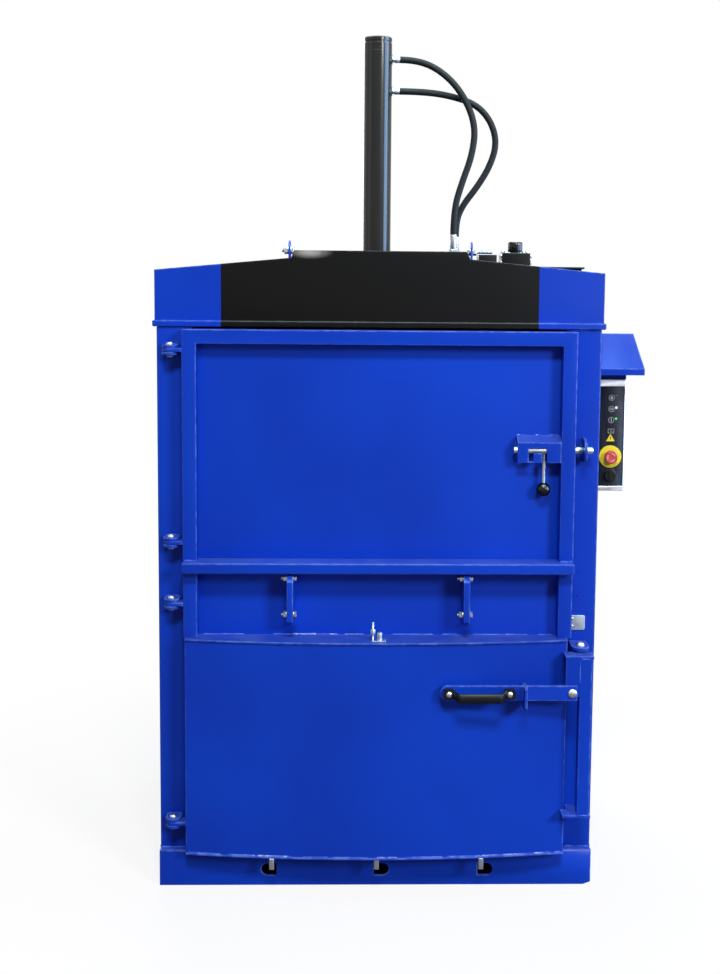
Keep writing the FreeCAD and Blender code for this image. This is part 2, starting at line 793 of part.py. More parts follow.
# Control box, with its sloped rain hood
def make_controls():
    """The box on the side wall, its bezel and panel, the emergency stop, the knob and the hood."""
    sub_part("control_box", box(
        "ControlBox", ("box_left", "box_left + box_wide"), ("box_front", "box_front + box_deep"),
        ("box_low", "box_high")))
    right = "bezel_left + bezel_wide"
    depth = ("bezel_front", "box_front")
    outer = box("BezelOuter", ("bezel_left", right), depth, ("bezel_low", "bezel_high"))
    face = (f"bezel_left + panel_side_rim", f"{right} - panel_side_rim")
    window = box(
        "BezelWindow", face, ("bezel_front - door_sheet", "box_front"), ("panel_low", "panel_high"))
    sub_part("control_bezel", cut("Bezel", outer, window))
    stop = ("stop_place", "stop_height")
    bore = "stop_stem_radius + stop_stem_gap"
    panel = box("PanelPlate", face, ("panel_front", "box_front"), ("panel_low", "panel_high"))
    sub_part("control_panel", cut("Panel", panel, rod(
        "PanelBore", "Y", stop, bore, "panel_front - stop_disc_thick", "box_front")))
    disc = rod("StopDisc", "Y", stop, "stop_disc_radius", "disc_front", "panel_front")
    sub_part("stop_collar", cut("StopCollar", disc, rod(
        "CollarBore", "Y", stop, bore, "disc_front - stop_disc_thick", "panel_front")))
    head_back = "disc_front - stop_head_gap"
    sub_part("stop_button", fuse(
        "StopButton",
        rod("StopHead", "Y", stop, "stop_head_radius", f"{head_back} - stop_head_thick", head_back),
        rod("StopStem", "Y", stop, "stop_stem_radius", head_back, "panel_front")))
    knob = ("stop_place", "knob_height")
    ring_front = "panel_front - knob_ring_thick"
    sub_part("selector_knob", fuse(
        "Knob",
        rod("KnobRing", "Y", knob, "knob_ring_radius", ring_front, "panel_front"),
        rod("KnobBody", "Y", knob, "knob_radius", f"panel_front - knob_thick", ring_front)))
    hood_back = "half_width + hood_wide"
    hood_front = f"{hood_back} + hood_flare"
    back_y = "front + hood_deep"
    height = ("hood_lip_low", "hood_high")
    plan = sketched("HoodPlan", "XY", [
        ("half_width", "front"),
        (hood_front, "front"),
        (hood_back, back_y),
        ("half_width", back_y),
    ], *height)
    flank = sketched("HoodFlank", "XY", [
        (f"{hood_front} - hood_sheet", "front"),
        (hood_front, "front"),
        (hood_back, back_y),
        (f"{hood_back} - hood_sheet", back_y),
    ], *height)
    roof = sketched("HoodRoof", "YZ", [
        ("front", "hood_lip_low"),
        ("front + hood_sheet", "hood_lip_low"),
        ("front + hood_sheet", "hood_front_high - hood_sheet"),
        (back_y, "hood_high - hood_sheet"),
        (back_y, "hood_high"),
        ("front", "hood_front_high"),
    ], "half_width", hood_front)
    side = sketched("HoodSide", "YZ", [
        ("front", "hood_lip_low"),
        (back_y, "hood_lip_low"),
        (back_y, "hood_high"),
        ("front", "hood_front_high"),
    ], f"{hood_back} - hood_sheet", hood_front)
    sub_part("control_hood", fuse(
        "Hood", common("HoodTop", plan, roof), common("HoodEnd", flank, side)))


# Hinges: pairs of ears on the left column, a leaf of the door between them
def leaf(name, height, door_edge):
    """One door leaf: a plate with a rounded nose about the hinge pin."""
    z = (f"{height} - leaf_thick / 2", f"{height} + leaf_thick / 2")
    y = ("hinge_y - leaf_radius", "hinge_y + leaf_radius")
    centre = ("hinge_place", "hinge_y")
    plate = box(f"{name}Plate", ("hinge_place", door_edge), y, z)
    nose = rod(f"{name}Nose", "Z", centre, "leaf_radius", *z)
    bore = rod(
        f"{name}Bore", "Z", centre, "pin_radius + pin_gap",
        f"{height} - leaf_thick", f"{height} + leaf_thick")
    return cut(name, fuse(f"{name}Solid", plate, nose), bore)


def ear(name, centre, radius, low, high):
    """One fixed ear: a plate from the column's face, rounded about its pin."""
    x = (f"{centre[0]} - {radius}", f"{centre[0]} + {radius}")
    plate = box(f"{name}Plate", x, (centre[1], "front"), (low, high))
    nose = rod(f"{name}Nose", "Z", centre, radius, low, high)
    bore = rod(
        f"{name}Bore", "Z", centre, "pin_radius + pin_gap", f"{low} - ear_thick", f"{high} + ear_thick")
    return cut(name, fuse(f"{name}Solid", plate, nose), bore)


def make_hinges():
    """The fixed ears and the pins of all four hinges."""
    centre = ("hinge_place", "hinge_y")
    ears = []
    pins = []
    heights = ("upper_leaf_high", "upper_leaf_low", "lower_leaf_high", "lower_leaf_low")
    for index, height in enumerate(heights):
        inner = "leaf_thick / 2 + leaf_ear_gap"
        outer = f"{inner} + ear_thick"
        ears.append(ear(f"EarTop{index}", centre, "ear_radius", f"{height} + {inner}",
                        f"{height} + {outer}"))
        ears.append(ear(f"EarLow{index}", centre, "ear_radius", f"{height} - ({outer})",
                        f"{height} - ({inner})"))
        top = f"{height} + {outer}"
        low = f"{height} - ({outer})"
        shank = rod(f"Shank{index}", "Z", centre, "pin_radius", low, top)
        head = hexagon(f"Head{index}", centre, "pin_head_radius", top, f"{top} + pin_head_high")
        nut = hexagon(f"Nut{index}", centre, "pin_head_radius", f"{low} - pin_head_high", low)
        pins.append(fuse(f"Pin{index}", shank, head, nut))
    sub_part("hinge_ears", together("HingeEars", ears))
    sub_part("hinge_pins", together("HingePins", pins))


# Upper door: stiles, rails and a flat panel behind them
def make_upper_door():
    """The door's frame, panel and hinge leaves."""
    tube = ("door_front", "door_back")
    rail_low = "upper_door_top - door_tube"
    bar_top = "upper_door_low + crossbar_height"
    inner = "door_half_width - door_tube"
    left = box("StileLeft", ("-door_half_width", f"-({inner})"), tube, (bar_top, rail_low))
    right = box("StileRightSolid", (inner, "door_half_width"), tube, (bar_top, rail_low))
    bore = rod(
        "StileBore", "X", ("latch_y", "latch_height"), "bolt_radius + bolt_hole_gap",
        f"{inner} - door_tube", "door_half_width + door_tube")
    sub_part("upper_door_stiles", together("UpperStiles", [left, cut("StileRight", right, bore)]))
    full = ("-door_half_width", "door_half_width")
    sub_part("upper_door_top_rail", box("TopRail", full, tube, (rail_low, "upper_door_top")))
    sub_part("upper_door_crossbar", box(
        "Crossbar", full, ("door_back - crossbar_deep", "door_back"), ("upper_door_low", bar_top)))
    sub_part("upper_door_panel", box(
        "UpperPanel", ("-panel_half_width", "panel_half_width"),
        ("door_back", "door_back + door_sheet"), ("upper_door_low", "upper_door_top - door_tube / 2")))
    sub_part("upper_door_leaves", together("UpperLeaves", [
        leaf("UpperLeafHigh", "upper_leaf_high", "-door_half_width"),
        leaf("UpperLeafLow", "upper_leaf_low", "-door_half_width"),
    ]))


# Latch: a sliding bolt whose hanging handle turns through a slot of the housing
def make_latch():
    """The housing, the bolt, its handle with a ball, and the keeper on the column."""
    right = "housing_right"
    low = "latch_height - housing_low"
    high = "latch_height + housing_high"
    back_high = "latch_height + housing_back_high"
    outer = sketched("HousingOuter", "YZ", [
        ("door_front", low), ("door_back", low), ("door_back", back_high), ("door_front", high),
    ], "housing_left", right)
    inner = sketched("HousingInner", "YZ", [
        ("door_front + housing_sheet", f"{low} - housing_sheet"),
        ("door_back + housing_sheet", f"{low} - housing_sheet"),
        ("door_back + housing_sheet", f"{back_high} - housing_sheet"),
        ("door_front + housing_sheet", f"{high} - housing_sheet"),
    ], "housing_left + housing_sheet", f"{right} + housing_sheet")
    front_cut = ("door_front - housing_sheet", "door_front + 2 * housing_sheet")
    half_leg = "slot_leg_wide / 2"
    bar = ("latch_height - slot_bar_high / 2", "latch_height + slot_bar_high / 2")
    legs_low = f"{low} - housing_sheet"
    slot = [
        box("SlotRest", (f"slot_rest - {half_leg}", f"slot_rest + {half_leg}"), front_cut,
            (legs_low, bar[1])),
        box("SlotOpen", (f"slot_open - {half_leg}", f"slot_open + {half_leg}"), front_cut,
            (f"{low} + slot_bridge", bar[1])),
        box("SlotBar", ("slot_open", "slot_rest"), front_cut, bar),
    ]
    axis = ("latch_y", "latch_height")
    end_hole = rod(
        "HousingBore", "X", axis, "bolt_radius + bolt_hole_gap",
        "housing_left - housing_sheet", "housing_left + 2 * housing_sheet")
    sub_part("latch_housing", cut("Housing", outer, inner, end_hole, *slot))
    bolt = rod("BoltBar", "X", axis, "bolt_radius", "bolt_left", "bolt_right - bolt_nose")
    nose = cone(
        "BoltNose", "X", axis, "bolt_radius", "bolt_radius - bolt_nose / 2",
        "bolt_right - bolt_nose", "bolt_right")
    sub_part("latch_bolt", fuse("Bolt", bolt, nose))
    hanging = ("slot_rest", "latch_y")
    ball_middle = "latch_height - ball_drop"
    shank = rod("HandleRod", "Z", hanging, "latch_rod_radius", ball_middle, "latch_height")
    around = rod(
        "HandleSeat", "X", axis, "bolt_radius + bolt_hole_gap",
        "slot_rest - 2 * latch_rod_radius", "slot_rest + 2 * latch_rod_radius")
    ball = doc.addObject("Part::Sphere", "Ball")
    ball.setExpression("Radius", cells("ball_radius"))
    put(ball, "slot_rest", "latch_y", ball_middle)
    stem = cut("HandleStem", shank, around, ball)
    sub_part("latch_handle_rod", stem)
    sub_part("latch_ball", ball)
    keeper_x = ("keeper_left", "keeper_left + keeper_thick")
    radius = "keeper_radius"
    plate = box("KeeperPlate", keeper_x, ("latch_y", "front"),
                (f"latch_height - {radius}", f"latch_height + {radius}"))
    hole = rod(
        "KeeperHole", "X", axis, "bolt_radius + bolt_hole_gap",
        "keeper_left - keeper_thick", "keeper_left + 2 * keeper_thick")
    round_end = rod("KeeperNose", "X", axis, radius, *keeper_x)
    sub_part("latch_keeper", cut("Keeper", fuse("KeeperSolid", plate, round_end), hole))


# Lower door: a bowed shell between two shelves under a short framed top
def bowed(name, x, z, inset):
    """A block whose front face is bowed forward; inset draws that face back."""
    block = box(f"{name}Block", x, ("skin_side_y - 2 * skin_bow", "door_back"), z)
    drum = rod(f"{name}Drum", "Z", ("skin_middle", "skin_centre_y"), f"skin_radius - ({inset})", *z)
    return common(name, drum, block)


def make_lower_door():
    """The door's panel, top stiles, shelves, bowed skin, leaves, brackets and strap fingers."""
    tube = ("door_front", "door_back")
    inner = "door_half_width - door_tube"
    sub_part("lower_door_panel", box(
        "LowerPanel", ("-panel_half_width", "panel_half_width"),
        ("door_back", "door_back + door_sheet"), ("lower_door_low", "lower_door_top")))
    stile_z = ("lower_top_stile_low", "lower_door_top")
    sub_part("lower_door_stiles", together("LowerStiles", [
        box("LowerStileLeft", ("-door_half_width", f"-({inner})"), tube, stile_z),
        box("LowerStileRight", (inner, "door_half_width"), tube, stile_z),
    ]))
    across = ("lower_left", "lower_right")
    sub_part("lower_door_shelves", together("Shelves", [
        bowed("TopShelf", across, ("shelf_top_low", "lower_top_stile_low"), "-shelf_lip"),
        bowed("BottomShelf", across, ("lower_door_low", "shelf_bottom_top"), "-shelf_lip"),
    ]))
    skin_z = ("shelf_bottom_top", "shelf_top_low")
    shell = bowed("SkinSolid", across, skin_z, "0")
    hollow = bowed(
        "SkinHollow", ("lower_left + door_sheet", "lower_right - door_sheet"), skin_z, "door_sheet")
    sub_part("lower_door_skin", cut("Skin", shell, hollow))
    sub_part("lower_door_leaves", together("LowerLeaves", [
        leaf("LowerLeafHigh", "lower_leaf_high", "-door_half_width"),
        leaf("LowerLeafLow", "lower_leaf_low", "lower_left"),
    ]))
    brackets = []
    for side in (-1, 1):
        middle = f"({side}) * bracket_place"
        front_y = "front - bracket_front"
        brackets.append(sketched(f"Bracket{side + 1}", "YZ", [
            ("door_back", "bracket_low"),
            ("door_back", "bracket_high"),
            (f"{front_y} + bracket_chamfer", "bracket_high"),
            (front_y, "bracket_high - bracket_chamfer"),
            (front_y, "bracket_low + bracket_chamfer"),
            (f"{front_y} + bracket_chamfer", "bracket_low"),
        ], f"{middle} - bracket_thick / 2", f"{middle} + bracket_thick / 2"))
    sub_part("strap_brackets", together("Brackets", brackets))
    fingers = []
    for index, side in enumerate((-1, 0, 1)):
        middle = f"({side}) * slot_pitch"
        x = (f"{middle} - finger_width / 2", f"{middle} + finger_width / 2")
        hanging_y = ("front - finger_set - finger_thick", "front - finger_set")
        hanging = box(f"Finger{index}", x, hanging_y, ("finger_low", "lower_door_low"))
        fold = box(
            f"FingerFold{index}", x, ("front - finger_set", "front - finger_set + finger_fold"),
            ("lower_door_low - finger_thick", "lower_door_low"))
        fingers.append(fuse(f"FingerBent{index}", hanging, fold))
    sub_part("strap_fingers", together("Fingers", fingers))


# Closing bar: an upright on the right column that draws the lower door shut
def bar_plate(name, low, high):
    """One end plate: a broad front across the upright, and a narrow arm back to the pin."""
    front = box(f"{name}Front", ("bar_plate_left", "bar_plate_right"),
                ("bar_front_y", "bar_front_y + bar_plate_deep"), (low, high))
    arm = box(f"{name}Arm", ("bar_place - bar_arm_half", "bar_place + bar_arm_half"),
              ("bar_front_y", "bar_y"), (low, high))
    nose = rod(f"{name}Nose", "Z", ("bar_place", "bar_y"), "bar_arm_half", low, high)
    return fuse(name, front, arm, nose)


def make_closing_bar():
    """The upright with its end plates and tab, the lever, the grip, the fixed ears and the pins."""
    tube = box("BarTube", ("bar_tube_left", "bar_tube_right"),
               ("bar_front_y", "bar_front_y + bar_tube_deep"),
               ("bar_low + bar_plate_thick", "bar_high - bar_plate_thick"))
    top = bar_plate("BarTop", "bar_high - bar_plate_thick", "bar_high")
    bottom = bar_plate("BarBottom", "bar_low", "bar_low + bar_plate_thick")
    tab = box("BarTab", ("bar_tab_left", "bar_tube_left"),
              ("bar_front_y", "bar_front_y + bar_tab_thick"),
              ("bar_tab_low", "bar_high - bar_plate_thick"))
    centre = ("bar_place", "bar_y")
    bore_radius = "pin_radius + pin_gap"
    bores = [
        rod("BarBoreTop", "Z", centre, bore_radius,
            "bar_high - bar_plate_thick", "bar_high + bar_plate_thick"),
        rod("BarBoreLow", "Z", centre, bore_radius,
            "bar_low - bar_plate_thick", "bar_low + bar_plate_thick"),
    ]
    sub_part("closing_bar", cut("Bar", fuse("BarSolid", tube, top, bottom, tab), *bores))
    ear_low = "bar_high + bar_ear_gap"
    ear_high = f"{ear_low} + bar_ear_thick"
    foot_high = "bar_low - bar_ear_gap"
    foot_low = f"{foot_high} - bar_ear_thick"
    sub_part("closing_bar_ears", together("BarEars", [
        ear("BarEarTop", centre, "bar_ear_radius", ear_low, ear_high),
        ear("BarEarLow", centre, "bar_ear_radius", foot_low, foot_high),
    ]))
    sub_part("closing_bar_pins", together("BarPins", [
        fuse("BarPinTop",
             rod("BarPinTopShank", "Z", centre, "pin_radius",
                 "bar_high - bar_plate_thick + bolt_hole_gap", ear_high),
             rod("BarPinTopHead", "Z", centre, "bar_pin_head_radius",
                 ear_high, f"{ear_high} + bar_pin_head_high")),
        rod("BarPinLow", "Z", centre, "pin_radius",
            foot_low, "bar_low + bar_plate_thick - bolt_hole_gap"),
    ]))
    half = "lever_wide / 2"
    lever_y = ("lever_front_y", "bar_front_y")
    lever_z = (f"lever_height - {half}", f"lever_height + {half}")
    flat = box("LeverFlat", (f"lever_left + {half}", "lever_right"), lever_y, lever_z)
    end = rod("LeverEnd", "Y", (f"lever_left + {half}", "lever_height"), half, *lever_y)
    cross = sketched("LeverCross", "YZ", [
        ("lever_front_y - cross_front", f"{lever_z[1]}"),
        ("lever_front_y - cross_front", "lever_height - cross_low + cross_chamfer"),
        ("lever_front_y - cross_front + cross_chamfer", "lever_height - cross_low"),
        ("bar_front_y + cross_back", "lever_height - cross_low"),
        ("bar_front_y + cross_back", f"{lever_z[1]}"),
    ], "cross_place - cross_thick / 2", "cross_place + cross_thick / 2")
    sub_part("closing_lever", fuse("Lever", flat, end, cross))
    reach_y = "lever_front_y - grip_reach"
    foot = "grip_foot_half"
    grip_z = ("lever_height - grip_bar_half", "lever_height + grip_bar_half")
    outer = sketched("GripOuter", "XY", [
        (f"grip_left - {foot}", "lever_front_y"),
        ("grip_left", reach_y),
        ("grip_right", reach_y),
        (f"grip_right + {foot}", "lever_front_y"),
        (f"grip_right - {foot}", "lever_front_y"),
        (f"grip_right - {foot}", f"{reach_y} + grip_bar_deep"),
        (f"grip_left + {foot}", f"{reach_y} + grip_bar_deep"),
        (f"grip_left + {foot}", "lever_front_y"),
    ], *grip_z)
    sub_part("lever_grip", outer)


def make_interlock():
    """The small plate on the right-hand column beside the lower door's top, with rounded right corners."""
    depth = ("front - interlock_thick", "front")
    round_x = "interlock_right - interlock_corner"
    round_low = "interlock_low + interlock_corner"
    round_high = "interlock_high - interlock_corner"
    sub_part("interlock_plate", fuse(
        "Interlock",
        box("InterlockPlate", ("interlock_left", round_x), depth, ("interlock_low", "interlock_high")),
        box("InterlockEdge", (round_x, "interlock_right"), depth, (round_low, round_high)),
        rod("InterlockCornerLow", "Y", (round_x, round_low), "interlock_corner", *depth),
        rod("InterlockCornerHigh", "Y", (round_x, round_high), "interlock_corner", *depth)))


make_base()
make_cabinet()
make_head()
make_cylinder()
make_power_unit()
hose("hose_upper", UPPER_HOSE)
hose("hose_lower", LOWER_HOSE)
make_controls()
make_hinges()
make_upper_door()
make_latch()
make_lower_door()
make_closing_bar()
make_interlock()

doc.removeObject(scratch.Name)
doc.recompute()

for item in doc.Objects:
    if "Invalid" in item.State or "Error" in item.State:
        raise RuntimeError(f"{item.Label} did not build: {item.State}")
for label, item in sub_parts.items():
    if item.Shape.isNull() or not item.Shape.isValid():
        raise RuntimeError(f"{label} has no valid shape")
    if not item.Shape.Solids:
        raise RuntimeError(f"{label} holds no solid")

os.makedirs("parts", exist_ok=True)
for label, item in sub_parts.items():
    item.Shape.exportStep(os.path.join("parts", f"{label}.step"))
print(len(sub_parts), "sub-parts written")
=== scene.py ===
"""Dresses the compact vertical baler: painted steel, plated fastenings, hoses and a studio.

Metres, in the frame of the part: +X to the operator's right, +Y into the machine, +Z up, with
the origin on the floor under the middle of the cabinet.
"""

import json
import logging
import math
from dataclasses import dataclass
from enum import Enum
from typing import Any, Iterable, Sequence

import bmesh
import bpy
import numpy as np
from mathutils import Matrix, Vector

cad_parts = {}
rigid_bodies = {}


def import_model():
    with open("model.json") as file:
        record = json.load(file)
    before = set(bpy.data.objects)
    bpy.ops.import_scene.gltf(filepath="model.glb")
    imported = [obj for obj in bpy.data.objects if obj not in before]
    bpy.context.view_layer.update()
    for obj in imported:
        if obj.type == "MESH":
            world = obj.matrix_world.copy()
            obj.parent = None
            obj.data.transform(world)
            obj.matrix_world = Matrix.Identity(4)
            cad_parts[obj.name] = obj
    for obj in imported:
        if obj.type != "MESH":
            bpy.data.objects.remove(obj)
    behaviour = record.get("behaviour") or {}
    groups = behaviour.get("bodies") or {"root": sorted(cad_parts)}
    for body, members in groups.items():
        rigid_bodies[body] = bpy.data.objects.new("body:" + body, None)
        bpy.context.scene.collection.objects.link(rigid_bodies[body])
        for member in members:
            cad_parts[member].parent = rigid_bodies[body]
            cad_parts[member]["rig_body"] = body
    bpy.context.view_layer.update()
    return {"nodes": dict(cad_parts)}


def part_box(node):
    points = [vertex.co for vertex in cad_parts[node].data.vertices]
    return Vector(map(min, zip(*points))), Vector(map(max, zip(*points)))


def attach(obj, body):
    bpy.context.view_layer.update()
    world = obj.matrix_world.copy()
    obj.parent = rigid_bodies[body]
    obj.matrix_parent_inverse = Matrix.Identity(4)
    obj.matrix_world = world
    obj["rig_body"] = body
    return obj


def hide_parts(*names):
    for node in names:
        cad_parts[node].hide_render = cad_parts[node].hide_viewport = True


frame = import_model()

LOG = logging.getLogger("baler")
JOIN_DISTANCE = 1e-5
FLAT_TURN = math.radians(0.5)
BEVEL_SEGMENTS = 3
PIN_RADIUS = 0.0078
PEEL_STRENGTH = 0.6
GRAIN_STRENGTH = 0.5

Colour = tuple[float, float, float]
Point = tuple[float, float, float]


class Slot(Enum):
    """The record's material slots."""

    BLUE = "blue_paint"
    BLACK = "black_paint"
    ZINC = "zinc"
    CHROME = "hard_chrome"
    ALUMINIUM = "aluminium"
    PANEL = "panel_plastic"
    PLASTIC = "black_plastic"
    RUBBER = "hose_rubber"
    YELLOW = "yellow_plastic"
    RED = "red_plastic"
    PLATE = "grey_plate"


class Look(Enum):
    """The finishes, each with the record's slot that it belongs to."""

    BLUE = ("blue_enamel", Slot.BLUE)
    HEAD = ("head_enamel", Slot.BLACK)
    DECK = ("deck_enamel", Slot.BLUE)
    BLACK = ("black_enamel", Slot.BLACK)
    BARREL = ("barrel_enamel", Slot.BLACK)
    ZINC = ("bright_zinc", Slot.ZINC)
    DULL = ("dull_zinc", Slot.ZINC)
    CHROME = ("ground_chrome", Slot.CHROME)
    ALUMINIUM = ("milled_aluminium", Slot.ALUMINIUM)
    BEZEL = ("bezel_shell", Slot.ALUMINIUM)
    PANEL = ("panel_film", Slot.PANEL)
    MARK = ("panel_mark", Slot.PANEL)
    PLASTIC = ("black_moulding", Slot.PLASTIC)
    BALL = ("gloss_ball", Slot.PLASTIC)
    RUBBER = ("hose_cover", Slot.RUBBER)
    YELLOW = ("yellow_moulding", Slot.YELLOW)
    RED = ("red_moulding", Slot.RED)
    PLATE = ("satin_plate", Slot.PLATE)
    # Painted highlight: a near-white paint for bits that stand for glints on welds.
    BEAD_GLINT = ("worn_bead", Slot.BLUE)
    WHITE_LAMP = ("white_lamp", Slot.PANEL)
    GREEN_LAMP = ("green_lamp", Slot.PANEL)

    @property
    def title(self) -> str:
        """The finish's name."""
        return self.value[0]

    @property
    def slot(self) -> str:
        """The record's slot."""
        return self.value[1].value


PALETTE: dict[Look, bpy.types.Material] = {}


class Axis(Enum):
    """Which world axes an outline's two directions and its thickness follow."""

    X = (1, 2, 0)
    Y = (0, 2, 1)
    Z = (0, 1, 2)


def srgb(red: int, green: int, blue: int) -> tuple[float, float, float, float]:
    """A screen colour as the linear colour that renders to it.

    Args:
        red: Red, from 0 to 255.
        green: Green, from 0 to 255.
        blue: Blue, from 0 to 255.

    Returns:
        The linear colour with an alpha of one.
    """
    share = np.array([red, green, blue]) / 255.0
    linear = np.where(share <= 0.04045, share / 12.92, ((share + 0.055) / 1.055) ** 2.4)
    return (float(linear[0]), float(linear[1]), float(linear[2]), 1.0)


# Meshes

@dataclass
class Shell:
    """One closed surface: its points and the faces between them."""

    points: np.ndarray
    faces: list[tuple[int, ...]]


def merged(shells: Iterable[Shell]) -> Shell:
    """Several surfaces as one list of points and faces.

    Args:
        shells: The surfaces to gather.

    Returns:
        Their points in one array, with each face's numbers moved on to match.
    """
    points: list[np.ndarray] = []
    faces: list[tuple[int, ...]] = []
    count = 0
    for shell in shells:
        points.append(shell.points)
        faces.extend(tuple(index + count for index in face) for face in shell.faces)
        count += len(shell.points)
    return Shell(np.concatenate(points), faces)


def swept(rings: np.ndarray) -> Shell:
    """A closed tube through rings of points, with a flat face over each end.

    Point (i, j) of the grid joins (i + 1, j) and (i, j + 1), and the last column joins the first.

    Args:
        rings: Points as an array of (rings, points in a ring, 3).

    Returns:
        The surface.
    """
    count, around = rings.shape[:2]
    row, column = np.meshgrid(np.arange(count - 1), np.arange(around), indexing="ij")
    after = (column + 1) % around
    quads = np.stack([
        row * around + column, row * around + after,
        (row + 1) * around + after, (row + 1) * around + column], axis=-1).reshape(-1, 4)
    faces = [tuple(quad) for quad in quads.tolist()]
    faces.append(tuple(range(around))[::-1])
    faces.append(tuple(range((count - 1) * around, count * around)))
    return Shell(rings.reshape(-1, 3), faces)


def placed(flat: np.ndarray, height: np.ndarray, axis: Axis) -> np.ndarray:
    """Points from an outline's two directions and a height, along the axis's own order.

    Args:
        flat: Places in the outline's two directions.
        height: Places along the axis.
        axis: The axis.

    Returns:
        The points in the world's axes.
    """
    local = np.concatenate([flat, height[..., None]], axis=-1)
    world = np.empty_like(local)
    world[..., list(axis.value)] = local
    return world


def turned(
    profile: Sequence[tuple[float, float]], centre: Sequence[float], axis: Axis, sides: int = 24,
    lead: float = 0.0,
) -> Shell:
    """A turned piece: radius r(u) carried round an axis, (r cos v, r sin v, h(u)).

    Args:
        profile: Pairs of radius and place along the axis.
        centre: The axis's places on the two other axes, in the axis's own order.
        axis: The axis of the turning.
        sides: Points round a ring; six makes a nut.
        lead: The angle of the first point.

    Returns:
        The surface, closed at both ends.
    """
    shape = np.asarray(profile, float)
    angle = lead + np.linspace(0.0, 2.0 * math.pi, sides, endpoint=False)
    circle = np.stack([np.cos(angle), np.sin(angle)], axis=-1)
    flat = shape[:, 0, None, None] * circle[None] + np.asarray(centre, float)
    height = np.repeat(shape[:, 1, None], sides, axis=1)
    return swept(placed(flat, height, axis))


def plate(outline: np.ndarray, axis: Axis, low: float, high: float) -> Shell:
    """A flat outline carried straight along an axis, from low to high.

    Args:
        outline: The outline's points.
        axis: The axis.
        low: Where it starts along the axis.
        high: Where it ends.

    Returns:
        The surface.
    """
    flat = np.repeat(np.asarray(outline, float)[None], 2, axis=0)
    height = np.repeat(np.array([low, high])[:, None], len(outline), axis=1)
    return swept(placed(flat, height, axis))


def block(low: Sequence[float], high: Sequence[float]) -> Shell:
    """A straight block between two corners."""
    corners = np.array([[low[0], low[1]], [high[0], low[1]], [high[0], high[1]], [low[0], high[1]]])
    return plate(corners, Axis.Z, low[2], high[2])


def rounded_outline(
    low: Sequence[float], high: Sequence[float], radius: float, steps: int = 6
) -> np.ndarray:
    """A rectangle with quarter-circle corners.

    Args:
        low: Its low corner.
        high: Its high corner.
        radius: The corners' radius.
        steps: Points along each quarter circle.

    Returns:
        Points anticlockwise, corner centre plus radius times (cos a, sin a).
    """
    signs = np.array([[1, 1], [-1, 1], [-1, -1], [1, -1]])
    middle = (np.asarray(low, float) + np.asarray(high, float)) / 2
    half = (np.asarray(high, float) - np.asarray(low, float)) / 2 - radius
    turn = np.linspace(0.0, math.pi / 2, steps)
    angle = turn[None] + np.arange(4)[:, None] * math.pi / 2
    arc = np.stack([np.cos(angle), np.sin(angle)], axis=-1) * radius
    return (middle + signs[:, None] * half + arc).reshape(-1, 2)


def object_from(name: str, mesh: bpy.types.Mesh, look: Look) -> bpy.types.Object:
    """A new object at the origin that holds a mesh and its finish.

    Args:
        name: Its name.
        mesh: Its mesh.
        look: Its finish.

    Returns:
        The new object.
    """
    item = bpy.data.objects.new(name, mesh)
    mesh.materials.clear()
    mesh.materials.append(PALETTE[look])
    bpy.context.scene.collection.objects.link(item)
    return item


def soften(item: bpy.types.Object, rounding: float, limit: float = 28.0) -> None:
    """Round an object's edges that turn by more than a limit in degrees.

    Args:
        item: The object.
        rounding: The edges' radius; nought leaves them sharp.
        limit: Edges that turn by less, in degrees, are left.
    """
    if rounding <= 0.0:
        return
    bevel = item.modifiers.new("Edges", "BEVEL")
    bevel.width = rounding
    bevel.segments = BEVEL_SEGMENTS
    bevel.limit_method = "ANGLE"
    bevel.angle_limit = math.radians(limit)
    bevel.harden_normals = True


def piece(
    name: str, shells: Shell | Iterable[Shell], look: Look, body: str,
    replaces: Sequence[str] = (), rounding: float = 0.0, smooth: float = 32.0,
) -> bpy.types.Object:
    """A finished piece that rides on a body.

    Args:
        name: Its name.
        shells: Its closed surfaces.
        look: Its finish.
        body: The body it moves with.
        replaces: The solids that it stands for.
        rounding: The radius of its edges, or none.
        smooth: Faces that meet at less than this many degrees are shaded as one surface.

    Returns:
        The new object.
    """
    shell = shells if isinstance(shells, Shell) else merged(shells)
    mesh = bpy.data.meshes.new(name)
    mesh.from_pydata(shell.points.tolist(), [], shell.faces)
    work = bmesh.new()
    work.from_mesh(mesh)
    bmesh.ops.recalc_face_normals(work, faces=work.faces)
    work.to_mesh(mesh)
    work.free()
    mesh.shade_smooth()
    if rounding <= 0.0:
        mesh.set_sharp_from_angle(angle=math.radians(smooth))
    item = object_from(name, mesh, look)
    soften(item, rounding)
    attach(item, body)
    if replaces:
        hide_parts(*replaces)
    LOG.info("%s: %d points", name, len(mesh.vertices))
    return item


def body_of(node: str) -> str:
    """The body that a solid belongs to."""
    return frame["nodes"][node]["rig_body"]


def span(node: str) -> tuple[np.ndarray, np.ndarray]:
    """A solid's low and high corners."""
    low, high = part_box(node)
    return np.array(low), np.array(high)


def cleaned(mesh: bpy.types.Mesh, join: float = 0.0) -> None:
    """Join a mesh's doubled points and make its flat faces whole.

    Args:
        mesh: The mesh, which is changed.
        join: Points nearer than this are joined; nought leaves them.
    """
    work = bmesh.new()
    work.from_mesh(mesh)
    if join > 0.0:
        bmesh.ops.remove_doubles(work, verts=work.verts, dist=join)
    bmesh.ops.dissolve_limit(work, angle_limit=FLAT_TURN, verts=work.verts, edges=work.edges)
    work.to_mesh(mesh)
    work.free()


def joined_copy(node: str) -> bpy.types.Mesh:
    """A copy of a solid's mesh with its points joined and its flat faces made whole.

    Args:
        node: The solid.

    Returns:
        The new mesh.
    """
    mesh = frame["nodes"][node].data.copy()
    cleaned(mesh, JOIN_DISTANCE)
    return mesh


